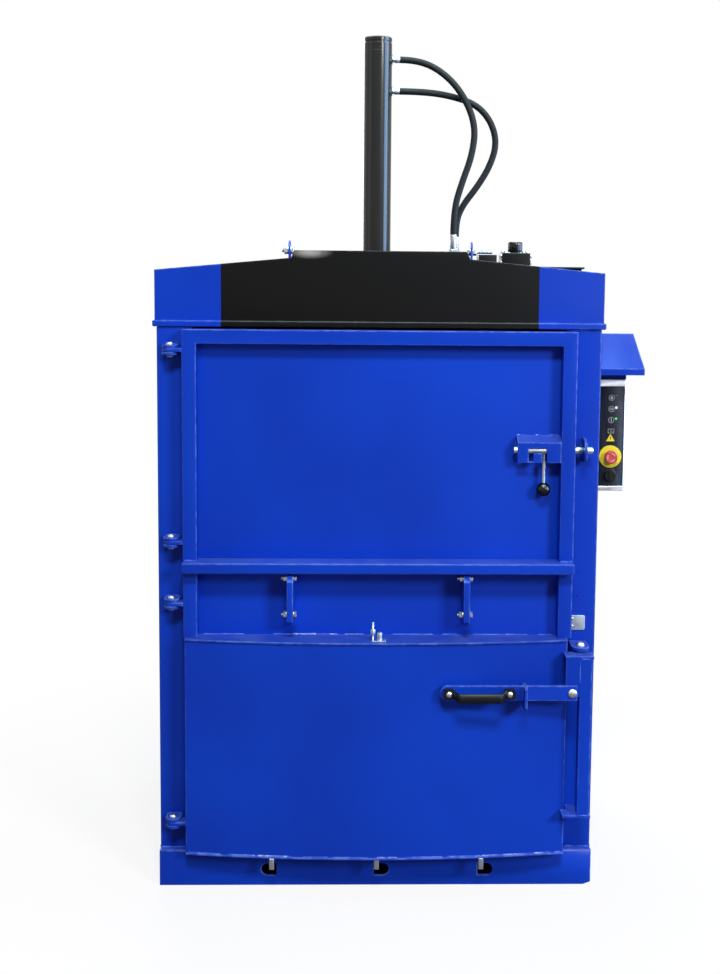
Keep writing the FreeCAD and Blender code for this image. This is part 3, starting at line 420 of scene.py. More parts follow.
def softened(name: str, nodes: Sequence[str], look: Look, rounding: float) -> bpy.types.Object:
    """One piece in place of solids that are welded flush, with its edges rounded.

    Args:
        name: Its name.
        nodes: The solids, on one body; the first takes the others in.
        look: Its finish.
        rounding: The radius of its edges.

    Returns:
        The new object.
    """
    item = object_from(name, joined_copy(nodes[0]), look)
    if len(nodes) > 1:
        others = [object_from(f"{name}_{node}", joined_copy(node), look) for node in nodes[1:]]
        for other in others:
            union = item.modifiers.new(other.name, "BOOLEAN")
            union.operation = "UNION"
            union.solver = "EXACT"
            union.object = other
        graph = bpy.context.evaluated_depsgraph_get()
        whole = bpy.data.meshes.new_from_object(item.evaluated_get(graph))
        item.modifiers.clear()
        item.data = whole
        for other in others:
            bpy.data.objects.remove(other)
        cleaned(whole)
    item.data.shade_smooth()
    soften(item, rounding)
    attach(item, body_of(nodes[0]))
    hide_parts(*nodes)
    LOG.info("%s: %d points", name, len(item.data.vertices))
    return item


# Finishes

class Nodes:
    """Adds nodes to one node tree and links them as it goes."""

    def __init__(self, tree: bpy.types.NodeTree) -> None:
        """Start on a tree.

        Args:
            tree: The node tree to fill.
        """
        self.tree = tree

    def add(self, kind: str, inputs: dict[Any, Any] | None = None, **settings: Any) -> Any:
        """Add a node.

        Args:
            kind: The node's type.
            inputs: A value, or a socket to link, for each input by name or number.
            settings: Properties of the node.

        Returns:
            The new node.
        """
        node = self.tree.nodes.new(kind)
        for name, value in settings.items():
            setattr(node, name, value)
        for key, value in (inputs or {}).items():
            if isinstance(value, bpy.types.NodeSocket):
                self.tree.links.new(value, node.inputs[key])
            else:
                node.inputs[key].default_value = value
        return node

    def math(self, operation: str, first: Any, second: Any = 0.0) -> Any:
        """The output of a Math node."""
        return self.add("ShaderNodeMath", {0: first, 1: second}, operation=operation).outputs[0]

    def link(self, source: Any, target: Any) -> None:
        """Link an output to an input."""
        self.tree.links.new(source, target)

    def place(self) -> Any:
        """The point's place on its piece, which moves with the piece."""
        return self.add("ShaderNodeTexCoord").outputs["Object"]

    def noise(self, vector: Any, scale: Any, detail: float, roughness: float = 0.5) -> Any:
        """The output of a Noise Texture."""
        return self.add("ShaderNodeTexNoise", {
            "Vector": vector, "Scale": scale, "Detail": detail, "Roughness": roughness,
        }).outputs["Fac"]

    def bump(self, shader: Any, height: Any, distance: float, strength: float) -> None:
        """Feed a height to a shader's normal.

        Args:
            shader: The shader.
            height: The height's socket.
            distance: The height's size in metres.
            strength: How strongly it shows.
        """
        node = self.add("ShaderNodeBump", {
            "Height": height, "Distance": distance, "Strength": strength})
        self.link(node.outputs["Normal"], shader.inputs["Normal"])

    def ramp(
        self, value: Any, low: float, high: float, bottom: float = 0.0, top: float = 1.0
    ) -> Any:
        """A value's smooth rise from bottom to top between low and high.

        Args:
            value: The value that it follows.
            low: Where the rise starts.
            high: Where it ends.
            bottom: The result at its start.
            top: The result at its end.

        Returns:
            The result's socket.
        """
        return self.add("ShaderNodeMapRange", {
            "Value": value, "From Min": low, "From Max": high, "To Min": bottom, "To Max": top,
        }, interpolation_type="SMOOTHSTEP").outputs["Result"]

    def mix(self, share: Any, first: Any, second: Any) -> Any:
        """The output of a colour mix; its colour sockets come after its number and vector ones.

        Args:
            share: The second colour's share.
            first: The first colour.
            second: The second colour.

        Returns:
            The colour's socket.
        """
        node = self.tree.nodes.new("ShaderNodeMix")
        node.data_type = "RGBA"
        share_in, first_in, second_in = [socket for socket in node.inputs if socket.enabled]
        for value, socket in ((share, share_in), (first, first_in), (second, second_in)):
            if isinstance(value, bpy.types.NodeSocket):
                self.tree.links.new(value, socket)
            else:
                socket.default_value = value
        return next(socket for socket in node.outputs if socket.enabled)


def group(
    name: str, inputs: dict[str, float], outputs: Sequence[str]
) -> tuple[Any, Nodes, Any, Any]:
    """A shader node group with named number inputs and outputs.

    Args:
        name: The group's name.
        inputs: A starting value for each input.
        outputs: The names of its outputs.

    Returns:
        The group, its node maker, its input node and its output node.
    """
    tree = bpy.data.node_groups.new(name, "ShaderNodeTree")
    for label, start in inputs.items():
        socket = tree.interface.new_socket(label, in_out="INPUT", socket_type="NodeSocketFloat")
        socket.default_value = start
    for label in outputs:
        tree.interface.new_socket(label, in_out="OUTPUT", socket_type="NodeSocketFloat")
    maker = Nodes(tree)
    return tree, maker, maker.add("NodeGroupInput"), maker.add("NodeGroupOutput")


@dataclass(frozen=True)
class Effects:
    """The surface effects that several finishes share, each a group of colour and height nodes."""

    skin: bpy.types.NodeTree
    edge_highlight: bpy.types.NodeTree
    dust: bpy.types.NodeTree
    crystal: bpy.types.NodeTree

    @staticmethod
    def build() -> "Effects":
        """Build each group once."""
        return Effects(sprayed_skin(), edge_wear_and_highlight(), settled_dust(), crystal_plating())


def sprayed_skin() -> bpy.types.NodeTree:
    """Sprayed enamel: wide soft clouds for its tone, and a fine orange peel for its height.

    Returns:
        The group.
    """
    tree, maker, given, out = group(
        "SprayedSkin", {"Cloud Scale": 3.0, "Peel Scale": 260.0}, ("Tone", "Peel"))
    place = maker.place()
    cloud = maker.noise(place, given.outputs["Cloud Scale"], detail=2.0, roughness=0.45)
    peel = maker.noise(place, given.outputs["Peel Scale"], detail=1.0, roughness=0.4)
    maker.link(maker.ramp(cloud, 0.3, 0.7), out.inputs["Tone"])
    maker.link(peel, out.inputs["Peel"])
    return tree


def edge_wear_and_highlight() -> bpy.types.NodeTree:
    """Edges for wear and painted highlight: a rounded normal leaves the face's own, most where it
    looks up or right, toward the lamps.

    Returns:
        The group.
    """
    tree, maker, given, out = group("EdgeWearHighlight", {"Radius": 0.006, "Break": 40.0}, ("Mask",))
    rounded = maker.add("ShaderNodeBevel", {"Radius": given.outputs["Radius"]}, samples=4)
    own = maker.add("ShaderNodeNewGeometry").outputs["Normal"]
    turn = maker.add(
        "ShaderNodeVectorMath", {0: rounded.outputs["Normal"], 1: own}, operation="DOT_PRODUCT")
    edge = maker.ramp(turn.outputs["Value"], 0.996, 0.94)
    # Painted highlight: edges that look up or right, toward the lamps, keep most of the mask.
    way = maker.add("ShaderNodeSeparateXYZ", {"Vector": rounded.outputs["Normal"]}).outputs
    lit_side = maker.math("MAXIMUM", way["Z"], way["X"])
    edge = maker.math("MULTIPLY", edge, maker.ramp(lit_side, -0.1, 0.5, 0.2, 1.0))
    noise = maker.noise(maker.place(), given.outputs["Break"], detail=3.0)
    broken = maker.ramp(noise, 0.42, 0.62, 0.25, 1.0)
    maker.link(maker.math("MULTIPLY", edge, broken), out.inputs["Mask"])
    return tree


def settled_dust() -> bpy.types.NodeTree:
    """Workshop dust: where a face looks up, patchy by noise.

    Returns:
        The group.
    """
    tree, maker, given, out = group("SettledDust", {"Patch Scale": 14.0}, ("Mask",))
    up = maker.add("ShaderNodeSeparateXYZ", {
        "Vector": maker.add("ShaderNodeNewGeometry").outputs["Normal"]}).outputs["Z"]
    noise = maker.noise(maker.place(), given.outputs["Patch Scale"], detail=5.0, roughness=0.6)
    patch = maker.ramp(noise, 0.3, 0.75, 0.35, 1.0)
    maker.link(maker.math("MULTIPLY", maker.ramp(up, 0.75, 0.98), patch), out.inputs["Mask"])
    return tree


def crystal_plating() -> bpy.types.NodeTree:
    """Zinc plating: small crystals of slightly different tone, with fine scratches over them.

    Returns:
        The group.
    """
    tree, maker, given, out = group("CrystalPlating", {"Crystal Scale": 220.0}, ("Tone", "Height"))
    place = maker.place()
    cell = maker.add("ShaderNodeTexVoronoi", {
        "Vector": place, "Scale": given.outputs["Crystal Scale"], "Randomness": 1.0})
    tone = maker.add("ShaderNodeSeparateColor", {"Color": cell.outputs["Color"]}).outputs[0]
    stretch = maker.add("ShaderNodeMapping", {"Vector": place, "Scale": (900.0, 900.0, 60.0)})
    scratch = maker.noise(stretch.outputs["Vector"], 1.0, detail=2.0)
    maker.link(tone, out.inputs["Tone"])
    maker.link(scratch, out.inputs["Height"])
    return tree


def set_plain(shader: Any, values: dict[str, Any]) -> None:
    """Set plain values on a shader's own sockets."""
    for name, value in values.items():
        shader.inputs[name].default_value = value


def blank_material(look: Look) -> tuple[bpy.types.Material, Nodes, Any]:
    """A material with only a Principled shader and its output.

    Args:
        look: The finish that it is for.

    Returns:
        The material, its node maker and its shader.
    """
    material = bpy.data.materials.new(look.title)
    material.use_nodes = True
    material.node_tree.nodes.clear()
    maker = Nodes(material.node_tree)
    shader = maker.add("ShaderNodeBsdfPrincipled")
    maker.add("ShaderNodeOutputMaterial", {"Surface": shader.outputs["BSDF"]})
    return material, maker, shader


@dataclass(frozen=True)
class Enamel:
    """A sprayed paint: two tones in soft clouds, lighter edges from wear and painted highlight,
    dust and orange peel.
    """

    light: Sequence[float]
    deep: Sequence[float]
    # edge: the lighter colour of worn edges and of painted highlight on edges that face up or
    # right.
    edge: Sequence[float]
    roughness: float = 0.30
    specular: float = 0.12
    coat: float = 0.0
    coat_roughness: float = 0.12
    edge_highlight_share: float = 0.8
    dust_share: float = 0.18
    peel_height: float = 0.00012
    cloud_scale: float = 2.2
    dust: Sequence[float] = srgb(140, 168, 180)

    def tone(self, maker: Nodes, effects: Effects) -> tuple[Any, Any]:
        """The paint's colour before edges and dust, and its skin group.

        Args:
            maker: The material's node maker.
            effects: The shared groups.

        Returns:
            The colour's socket and the skin group.
        """
        skin = maker.add(
            "ShaderNodeGroup", {"Cloud Scale": self.cloud_scale}, node_tree=effects.skin)
        return maker.mix(skin.outputs["Tone"], self.deep, self.light), skin

    def edge_highlight_tone(self, maker: Nodes) -> Any:
        """The colour of edges, for wear and painted highlight."""
        return self.edge

    def build(self, look: Look, effects: Effects) -> bpy.types.Material:
        """Build the material.

        Args:
            look: The finish that it is for.
            effects: The shared groups.

        Returns:
            The material.
        """
        material, maker, shader = blank_material(look)
        colour, skin = self.tone(maker, effects)
        # Painted highlight with wear: edges, most those facing up or right, mix toward the edge
        # colour.
        edge_highlight = maker.add("ShaderNodeGroup", node_tree=effects.edge_highlight)
        edge = maker.math("MULTIPLY", edge_highlight.outputs["Mask"], self.edge_highlight_share)
        colour = maker.mix(edge, colour, self.edge_highlight_tone(maker))
        settled = maker.add("ShaderNodeGroup", node_tree=effects.dust)
        dusty = maker.math("MULTIPLY", settled.outputs["Mask"], self.dust_share)
        colour = maker.mix(dusty, colour, self.dust)
        rough = maker.ramp(skin.outputs["Tone"], 0.0, 1.0, self.roughness + 0.04, self.roughness)
        maker.link(colour, shader.inputs["Base Color"])
        maker.link(maker.math("ADD", rough, dusty), shader.inputs["Roughness"])
        maker.bump(shader, skin.outputs["Peel"], self.peel_height, PEEL_STRENGTH)
        set_plain(shader, {
            "Specular IOR Level": self.specular, "Coat Weight": self.coat,
            "Coat Roughness": self.coat_roughness})
        return material


@dataclass(frozen=True)
class BandedEnamel(Enamel):
    """The head's paint: a black band across the middle of its front, in the cabinet's colour, with
    one painted reflection on the band.
    """

    band_half: float = 0.445
    band_back: float = -0.391
    band_light: Sequence[float] = srgb(11, 10, 11)
    band_deep: Sequence[float] = srgb(6, 6, 7)
    # Grey painted highlight for the band's edges, such as the flange's top edge.
    band_edge_highlight: Sequence[float] = srgb(88, 87, 84)
    # Painted reflection: a pale smear on the black band near the cheek's step.
    reflection_colour: Sequence[float] = srgb(170, 168, 166)
    reflection_centre: Point = (-0.197, -0.400, 1.826)
    reflection_reach: float = 0.058
    reflection_squeeze: Point = (0.8, 1.0, 2.6)
    reflection_cloud: float = 22.0

    def inside(self, maker: Nodes) -> Any:
        """One inside the band and nought outside it.

        Args:
            maker: The material's node maker.

        Returns:
            The mask's socket.
        """
        place = maker.place()
        parts = maker.add("ShaderNodeSeparateXYZ", {"Vector": place}).outputs
        across = maker.math("LESS_THAN", maker.math("ABSOLUTE", parts["X"]), self.band_half)
        front = maker.math("LESS_THAN", parts["Y"], self.band_back)
        return maker.math("MULTIPLY", across, front)

    def edge_highlight_tone(self, maker: Nodes) -> Any:
        """Painted edge highlights with wear: grey inside the band and light blue beside it."""
        return maker.mix(self.inside(maker), self.edge, self.band_edge_highlight)

    def tone(self, maker: Nodes, effects: Effects) -> tuple[Any, Any]:
        """The colour by distance from the middle, with one pale painted reflection near the cheek's
        step.

        Args:
            maker: The material's node maker.
            effects: The shared groups.

        Returns:
            The colour's socket and the skin group.
        """
        colour, skin = super().tone(maker, effects)
        place = maker.place()
        black = maker.mix(skin.outputs["Tone"], self.band_deep, self.band_light)
        offset = maker.add(
            "ShaderNodeVectorMath", {0: place, 1: self.reflection_centre}, operation="SUBTRACT")
        squeezed = maker.add(
            "ShaderNodeVectorMath", {0: offset.outputs["Vector"], 1: self.reflection_squeeze},
            operation="MULTIPLY")
        reach = maker.add(
            "ShaderNodeVectorMath", {0: squeezed.outputs["Vector"]}, operation="LENGTH")
        cloud = maker.noise(place, self.reflection_cloud, detail=3.0)
        near = maker.ramp(reach.outputs["Value"], self.reflection_reach, 0.0)
        # Painted reflection: a pale patch, broken by noise, mixed into the black.
        reflection_share = maker.math("MULTIPLY", near, maker.ramp(cloud, 0.3, 0.6, 0.3, 1.0))
        black = maker.mix(reflection_share, black, self.reflection_colour)
        return maker.mix(self.inside(maker), colour, black), skin


@dataclass(frozen=True)
class Plating:
    """A bare or plated metal with crystals and fine scratches."""

    light: Sequence[float]
    deep: Sequence[float]
    roughness: float = 0.3
    crystal_scale: float = 220.0
    scratch_height: float = 0.00002

    def build(self, look: Look, effects: Effects) -> bpy.types.Material:
        """Build the material for a look with the shared groups.

        Args:
            look: The finish that it is for.
            effects: The shared groups.

        Returns:
            The material.
        """
        material, maker, shader = blank_material(look)
        grain = maker.add(
            "ShaderNodeGroup", {"Crystal Scale": self.crystal_scale}, node_tree=effects.crystal)
        tone = grain.outputs["Tone"]
        maker.link(maker.mix(tone, self.deep, self.light), shader.inputs["Base Color"])
        rough = maker.ramp(tone, 0.0, 1.0, self.roughness + 0.08, self.roughness - 0.04)
        maker.link(rough, shader.inputs["Roughness"])
        maker.bump(shader, grain.outputs["Height"], self.scratch_height, GRAIN_STRENGTH)
        shader.inputs["Metallic"].default_value = 1.0
        return material


@dataclass(frozen=True)
class Moulding:
    """A moulded plastic or rubber with a fine grain, and edges lighter from rubbing and from
    painted highlight.
    """

    colour: Sequence[float]
    # edge: the colour of rubbed edges and of painted highlight on them.
    edge: Sequence[float]
    roughness: float = 0.4
    specular: float = 0.4
    coat: float = 0.0
    coat_roughness: float = 0.08
    cloud_scale: float = 30.0
    grain_scale: float = 900.0
    grain_height: float = 0.00005
    edge_highlight_share: float = 0.35
    edge_radius: float = 0.0015
    glow: float = 0.0

    def build(self, look: Look, effects: Effects) -> bpy.types.Material:
        """Build the material for a look with the shared groups.

        Args:
            look: The finish that it is for.
            effects: The shared groups.

        Returns:
            The material.
        """
        material, maker, shader = blank_material(look)
        skin = maker.add("ShaderNodeGroup", {
            "Cloud Scale": self.cloud_scale, "Peel Scale": self.grain_scale},
            node_tree=effects.skin)
        # Painted highlight with wear: edges facing up or right mix toward the edge colour.
        edge_highlight = maker.add(
            "ShaderNodeGroup", {"Radius": self.edge_radius}, node_tree=effects.edge_highlight)
        edge = maker.math("MULTIPLY", edge_highlight.outputs["Mask"], self.edge_highlight_share)
        maker.link(maker.mix(edge, self.colour, self.edge), shader.inputs["Base Color"])
        rough = maker.ramp(
            skin.outputs["Tone"], 0.0, 1.0, self.roughness - 0.04, self.roughness + 0.05)
        maker.link(rough, shader.inputs["Roughness"])
        maker.bump(shader, skin.outputs["Peel"], self.grain_height, GRAIN_STRENGTH)
        set_plain(shader, {
            "Specular IOR Level": self.specular, "Coat Weight": self.coat,
            "Coat Roughness": self.coat_roughness})
        if self.glow > 0.0:
            set_plain(shader, {"Emission Color": self.colour, "Emission Strength": self.glow})
        return material


def fill_palette() -> None:
    """Build every finish once."""
    effects = Effects.build()
    # The blue paints' light edge colour is painted highlight on upper and right edges, as well as
    # wear.
    blue = dict(light=srgb(14, 62, 192), deep=srgb(13, 54, 176), edge=srgb(120, 155, 235))
    recipes = {
        Look.BLUE: Enamel(**blue),
        Look.HEAD: BandedEnamel(**blue),
        Look.DECK: BandedEnamel(**blue),
        Look.BLACK: Enamel(
            light=srgb(24, 23, 24), deep=srgb(16, 16, 17), edge=srgb(80, 80, 82), roughness=0.38),
        Look.BARREL: Enamel(
            light=srgb(12, 10, 10), deep=srgb(7, 6, 6), edge=srgb(80, 80, 82), roughness=0.3,
            coat=0.42, cloud_scale=6.0, peel_height=0.00004),
        Look.ZINC: Plating(
            srgb(192, 193, 194), srgb(168, 170, 173), roughness=0.34, crystal_scale=120.0),
        Look.DULL: Plating(
            srgb(104, 106, 112), srgb(78, 80, 86), roughness=0.5, crystal_scale=120.0),
        Look.CHROME: Plating(
            srgb(230, 231, 234), srgb(214, 215, 219), roughness=0.12, crystal_scale=60.0,
            scratch_height=0.000004),
        Look.ALUMINIUM: Plating(
            srgb(214, 216, 220), srgb(198, 200, 205), roughness=0.34, crystal_scale=300.0),
        Look.BEZEL: Plating(
            srgb(212, 213, 220), srgb(200, 201, 209), roughness=0.36, crystal_scale=60.0),
        Look.PANEL: Moulding(srgb(18, 22, 36), srgb(44, 48, 60), roughness=0.45, specular=0.15),
        Look.MARK: Moulding(srgb(168, 170, 172), srgb(190, 190, 190), roughness=0.5),
        Look.PLASTIC: Moulding(
            srgb(22, 22, 23), srgb(46, 46, 48), roughness=0.4, specular=0.15),
        Look.BALL: Moulding(
            srgb(8, 8, 9), srgb(20, 20, 21), roughness=0.16, specular=0.15, coat=0.3,
            grain_height=0.00001),
        Look.RUBBER: Moulding(
            srgb(22, 22, 24), srgb(50, 50, 52), roughness=0.62, specular=0.15,
            grain_scale=700.0, grain_height=0.00025),
        Look.YELLOW: Moulding(srgb(226, 208, 40), srgb(240, 226, 90), roughness=0.42),
        Look.RED: Moulding(srgb(196, 60, 62), srgb(226, 120, 120), roughness=0.4),
        Look.PLATE: Plating(
            srgb(164, 167, 176), srgb(158, 161, 170), roughness=0.5, crystal_scale=40.0),
        # Painted highlight: near-white bits that stand for glints on the welds.
        Look.BEAD_GLINT: Enamel(
            light=srgb(190, 208, 236), deep=srgb(52, 92, 205), edge=srgb(190, 208, 236),
            cloud_scale=90.0, edge_highlight_share=0.3),
        Look.WHITE_LAMP: Moulding(srgb(205, 214, 255), srgb(240, 244, 255), glow=0.8),
        Look.GREEN_LAMP: Moulding(srgb(40, 214, 60), srgb(120, 240, 130), glow=0.9),
    }
    for look, recipe in recipes.items():
        PALETTE[look] = recipe.build(look, effects)


# Studio

@dataclass(frozen=True)
class Viewpoint:
    """The camera: where the photograph was taken from and how its frame was cut."""

    place: Point = (-0.0707, -4.2489, 1.7915)
    tilt_down: float = 6.006
    turn_right: float = 1.519
    roll: float = 0.5245
    focal_px: float = 1372.8
    frame_px: tuple[int, int] = (720, 974)
    axis_px: tuple[float, float] = (390.7, 409.3)
    sensor_mm: float = 36.0

    def build(self) -> bpy.types.Object:
        """Make the camera and set it as the scene's.

        Returns:
            The camera.
        """
        data = bpy.data.cameras.new("Viewpoint")
        data.sensor_fit = "HORIZONTAL"
        data.sensor_width = self.sensor_mm
        wide, high = self.frame_px
        data.lens = self.focal_px / wide * self.sensor_mm
        data.shift_x = (wide / 2 - self.axis_px[0]) / wide
        data.shift_y = (self.axis_px[1] - high / 2) / wide
        data.clip_end = 60.0
        camera = bpy.data.objects.new("Viewpoint", data)
        camera.matrix_world = (
            Matrix.Translation(self.place)
            @ Matrix.Rotation(math.radians(-self.turn_right), 4, "Z")
            @ Matrix.Rotation(math.radians(90.0 - self.tilt_down), 4, "X")
            @ Matrix.Rotation(math.radians(self.roll), 4, "Z"))
        bpy.context.scene.collection.objects.link(camera)
        bpy.context.scene.camera = camera
        return camera


@dataclass(frozen=True)
class Lamp:
    """One soft rectangular lamp; a gloss-only one shows in reflections and lights nothing."""

    name: str
    place: Point
    aim: Point
    wide: float
    tall: float
    power: float
    colour: Colour = (1.0, 1.0, 1.0)
    gloss_only: bool = False

    def build(self) -> bpy.types.Object:
        """Make the lamp, turned to its aim.

        Returns:
            The lamp.
        """
        data = bpy.data.lights.new(self.name, "AREA")
        data.shape = "RECTANGLE"
        data.size = self.wide
        data.size_y = self.tall
        data.energy = self.power
        data.color = self.colour
        lamp = bpy.data.objects.new(self.name, data)
        turn = (Vector(self.aim) - Vector(self.place)).to_track_quat("-Z", "Y")
        lamp.matrix_world = Matrix.Translation(self.place) @ turn.to_matrix().to_4x4()
        lamp.visible_camera = False
        lamp.visible_diffuse = not self.gloss_only
        bpy.context.scene.collection.objects.link(lamp)
        return lamp


@dataclass(frozen=True)
class Studio:
    """A pale floor under a white surround, with soft lamps in front and above."""

    floor_half: float = 6.0
    floor_grey: float = 0.30
    fade_near: float = 0.8
    fade_far: float = 2.2
    shadow_share: float = 0.20
    ambient: float = 0.02
    lamps: tuple[Lamp, ...] = (
        Lamp("Front lamp", (0.2, -6.2, 7.6), (0.0, -0.4, 1.0), 2.4, 1.3, 520.0),
        Lamp("Right lamp", (6.0, -7.9, 5.0), (0.0, -0.4, 1.0), 2.6, 2.2, 610.0),
        Lamp("Left lamp", (-3.8, -1.6, 2.5), (0.0, -0.2, 1.0), 1.6, 1.6, 5.0),
        Lamp("Top lamp", (0.0, 0.8, 4.6), (0.0, 0.0, 1.0), 2.2, 2.2, 55.0, (0.85, 0.92, 1.0)),
        Lamp("Back lamp", (-1.2, 4.6, 2.6), (0.0, 0.4, 1.1), 2.6, 2.6, 90.0),
        Lamp("Side lamp", (3.6, 0.2, 2.3), (0.0, 0.0, 1.4), 1.8, 2.4, 24.0, (0.8, 0.9, 1.0)),
        Lamp("Side window", (3.9, -1.0, 2.2), (0.0, 0.0, 2.0), 2.6, 3.0, 420.0,
             (0.36, 0.62, 1.0), gloss_only=True),
        Lamp("Ceiling panel", (0.6, -1.4, 4.6), (0.3, -0.4, 1.4), 3.6, 2.2, 380.0,
             (0.50, 0.95, 1.0), gloss_only=True),
    )

    def build(self) -> None:
        """Make the floor, the surround and the lamps."""
        self.floor()
        self.surround()
        for lamp in self.lamps:
            lamp.build()

    def floor(self) -> bpy.types.Object:
        """The floor: white with the part's shadow, which fades to plain white further out.

        Returns:
            The floor.
        """
        half = self.floor_half
        shell = block((-half, -half, -0.02), (half, half, 0.0))
        mesh = bpy.data.meshes.new("Floor")
        mesh.from_pydata(shell.points.tolist(), [], shell.faces)
        material = bpy.data.materials.new("studio_floor")
        material.use_nodes = True
        material.node_tree.nodes.clear()
        maker = Nodes(material.node_tree)
        place = maker.place()
        reach = maker.add("ShaderNodeVectorMath", {0: place}, operation="LENGTH").outputs["Value"]
        near = maker.ramp(reach, self.fade_far, self.fade_near, 0.0, self.shadow_share)
        seen = maker.add("ShaderNodeLightPath").outputs["Is Camera Ray"]
        plain = maker.math("MULTIPLY", seen, maker.math("SUBTRACT", 1.0, near))
        grey = (self.floor_grey, self.floor_grey, self.floor_grey, 1.0)
        lit = maker.add("ShaderNodeBsdfDiffuse", {
            "Color": maker.mix(seen, grey, (1.0, 1.0, 1.0, 1.0))})
        white = maker.add("ShaderNodeEmission", {"Color": (1.0, 1.0, 1.0, 1.0), "Strength": 1.0})
        both = maker.add("ShaderNodeMixShader", {
            0: plain, 1: lit.outputs["BSDF"], 2: white.outputs["Emission"]})
        maker.add("ShaderNodeOutputMaterial", {"Surface": both.outputs["Shader"]})
        mesh.materials.append(material)
        floor = bpy.data.objects.new("Floor", mesh)
        bpy.context.scene.collection.objects.link(floor)
        return floor

    def surround(self) -> None:
        """White where the camera, a gloss or a glass looks, and softer as light on the part."""
        world = bpy.data.worlds.new("Surround")
        world.use_nodes = True
        world.node_tree.nodes.clear()
        maker = Nodes(world.node_tree)
        rays = maker.add("ShaderNodeLightPath")
        seen = maker.math("MAXIMUM", rays.outputs["Is Camera Ray"], rays.outputs["Is Glossy Ray"])
        seen = maker.math("MAXIMUM", seen, rays.outputs["Is Transmission Ray"])
        strength = maker.ramp(seen, 0.0, 1.0, self.ambient, 1.0)
        light = maker.add("ShaderNodeBackground", {
            "Color": (1.0, 1.0, 1.0, 1.0), "Strength": strength})
        maker.add("ShaderNodeOutputWorld", {"Surface": light.outputs["Background"]})
        bpy.context.scene.world = world


# Hoses

@dataclass(frozen=True)
class Hose:
    """One hydraulic hose, from a port of the cylinder down to its sleeve on the valve block."""

    name: str
    node: str
    route_mm: tuple[tuple[float, float, float], ...]
    length: float
    diameter: float = 0.020

    def build(self) -> bpy.types.Object:
        """Make the hose as one smooth curve through its route's control points.

        Returns:
            The hose.
        """
        route = np.array(self.route_mm) / 1000.0
        curve = bpy.data.curves.new(self.name, "CURVE")
        curve.dimensions = "3D"
        curve.bevel_depth = self.diameter / 2
        curve.bevel_resolution = 6
        curve.resolution_u = 10
        curve.use_fill_caps = True
        line = curve.splines.new("NURBS")
        line.points.add(len(route) - 1)
        weighted = np.concatenate([route, np.ones((len(route), 1))], axis=1)
        line.points.foreach_set("co", weighted.ravel())
        line.order_u = 3
        line.use_endpoint_u = True
        curve.materials.append(PALETTE[Look.RUBBER])
        hose = bpy.data.objects.new(self.name, curve)
        bpy.context.scene.collection.objects.link(hose)
        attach(hose, body_of(self.node))
        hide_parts(self.node)
        LOG.info("%s: %d route points", self.name, len(route))
        return hose


HOSES = (
    Hose("upper_hose", "hose_upper", (
        (60, 0, 2410), (120, 0, 2410), (196, -12, 2370), (256, -18, 2302), (292, -22, 2212),
        (281, -25, 2122), (251, -27, 2040), (228, -29, 1960), (228, -29, 1885),
    ), 0.666),
    Hose("lower_hose", "hose_lower", (
        (60, 0, 2316), (130, 0, 2316), (215, 8, 2306), (295, 15, 2282), (342, 18, 2232),
        (361, 20, 2166), (342, 22, 2098), (304, 23, 2034), (257, 24, 1974), (239, 25, 1925),
        (239, 25, 1879),
    ), 0.691),
)


# Fastenings and welds

@dataclass(frozen=True)
class Bolt:
    """A hexagon bolt's head, its washer and a threaded end with a nut, by their sizes."""

    flats: float = 0.017
    head: float = 0.0064
    washer: float = 0.0115
    washer_thick: float = 0.0016
    shank: float = 0.005
    pitch: float = 0.0015

    def hexagon(
        self, centre: Sequence[float], axis: Axis, seat: float, way: int, high: float
    ) -> Shell:
        """A six-sided head or nut with turned corners.

        Args:
            centre: Its axis's places on the two other axes.
            axis: Its axis.
            seat: Where its underside is.
            way: Plus or minus one, the side it stands out to.
            high: Its height.

        Returns:
            The surface.
        """
        corner = self.flats / math.sqrt(3.0)
        profile = [
            (corner * 0.96, seat), (corner, seat + way * high * 0.12),
            (corner, seat + way * high * 0.82), (corner * 0.9, seat + way * high)]
        return turned(profile, centre, axis, sides=6, lead=math.pi / 6)

    def ring(self, centre: Sequence[float], axis: Axis, seat: float, way: int) -> Shell:
        """The washer on a seat."""
        profile = [(self.washer, seat), (self.washer, seat + way * self.washer_thick)]
        return turned(profile, centre, axis, sides=28)

    def thread(self, centre: Sequence[float], axis: Axis, low: float, high: float) -> Shell:
        """A threaded length: radius minus a triangle wave of the pitch along the axis.

        Args:
            centre: Its axis's places on the two other axes.
            axis: Its axis.
            low: Where it starts.
            high: Where it ends.

        Returns:
            The surface.
        """
        turns = max(2, int(abs(high - low) / self.pitch * 2))
        along = np.linspace(low, high, turns + 1)
        radius = self.shank - 0.0006 * (np.arange(turns + 1) % 2)
        return turned(np.stack([radius, along], axis=-1), centre, axis, sides=16)

    def head_set(self, centre: Sequence[float], axis: Axis, face: float, way: int) -> list[Shell]:
        """A washer and a head on a face."""
        top = face + way * self.washer_thick
        return [self.ring(centre, axis, face, way), self.hexagon(centre, axis, top, way, self.head)]

    def nut_set(
        self, centre: Sequence[float], axis: Axis, face: float, way: int, tail: float
    ) -> list[Shell]:
        """A washer, a nut and the thread that stands out past it by a tail.

        Args:
            centre: Its axis's places on the two other axes.
            axis: Its axis.
            face: The face under the washer.
            way: Plus or minus one, the side it stands out to.
            tail: How far the thread stands out past the nut.

        Returns:
            The surfaces.
        """
        top = face + way * self.washer_thick
        nut_high = self.head * 1.3
        end = top + way * (nut_high + tail)
        return [
            self.ring(centre, axis, face, way),
            self.hexagon(centre, axis, top, way, nut_high),
            self.thread(centre, axis, *sorted((face, end)))]


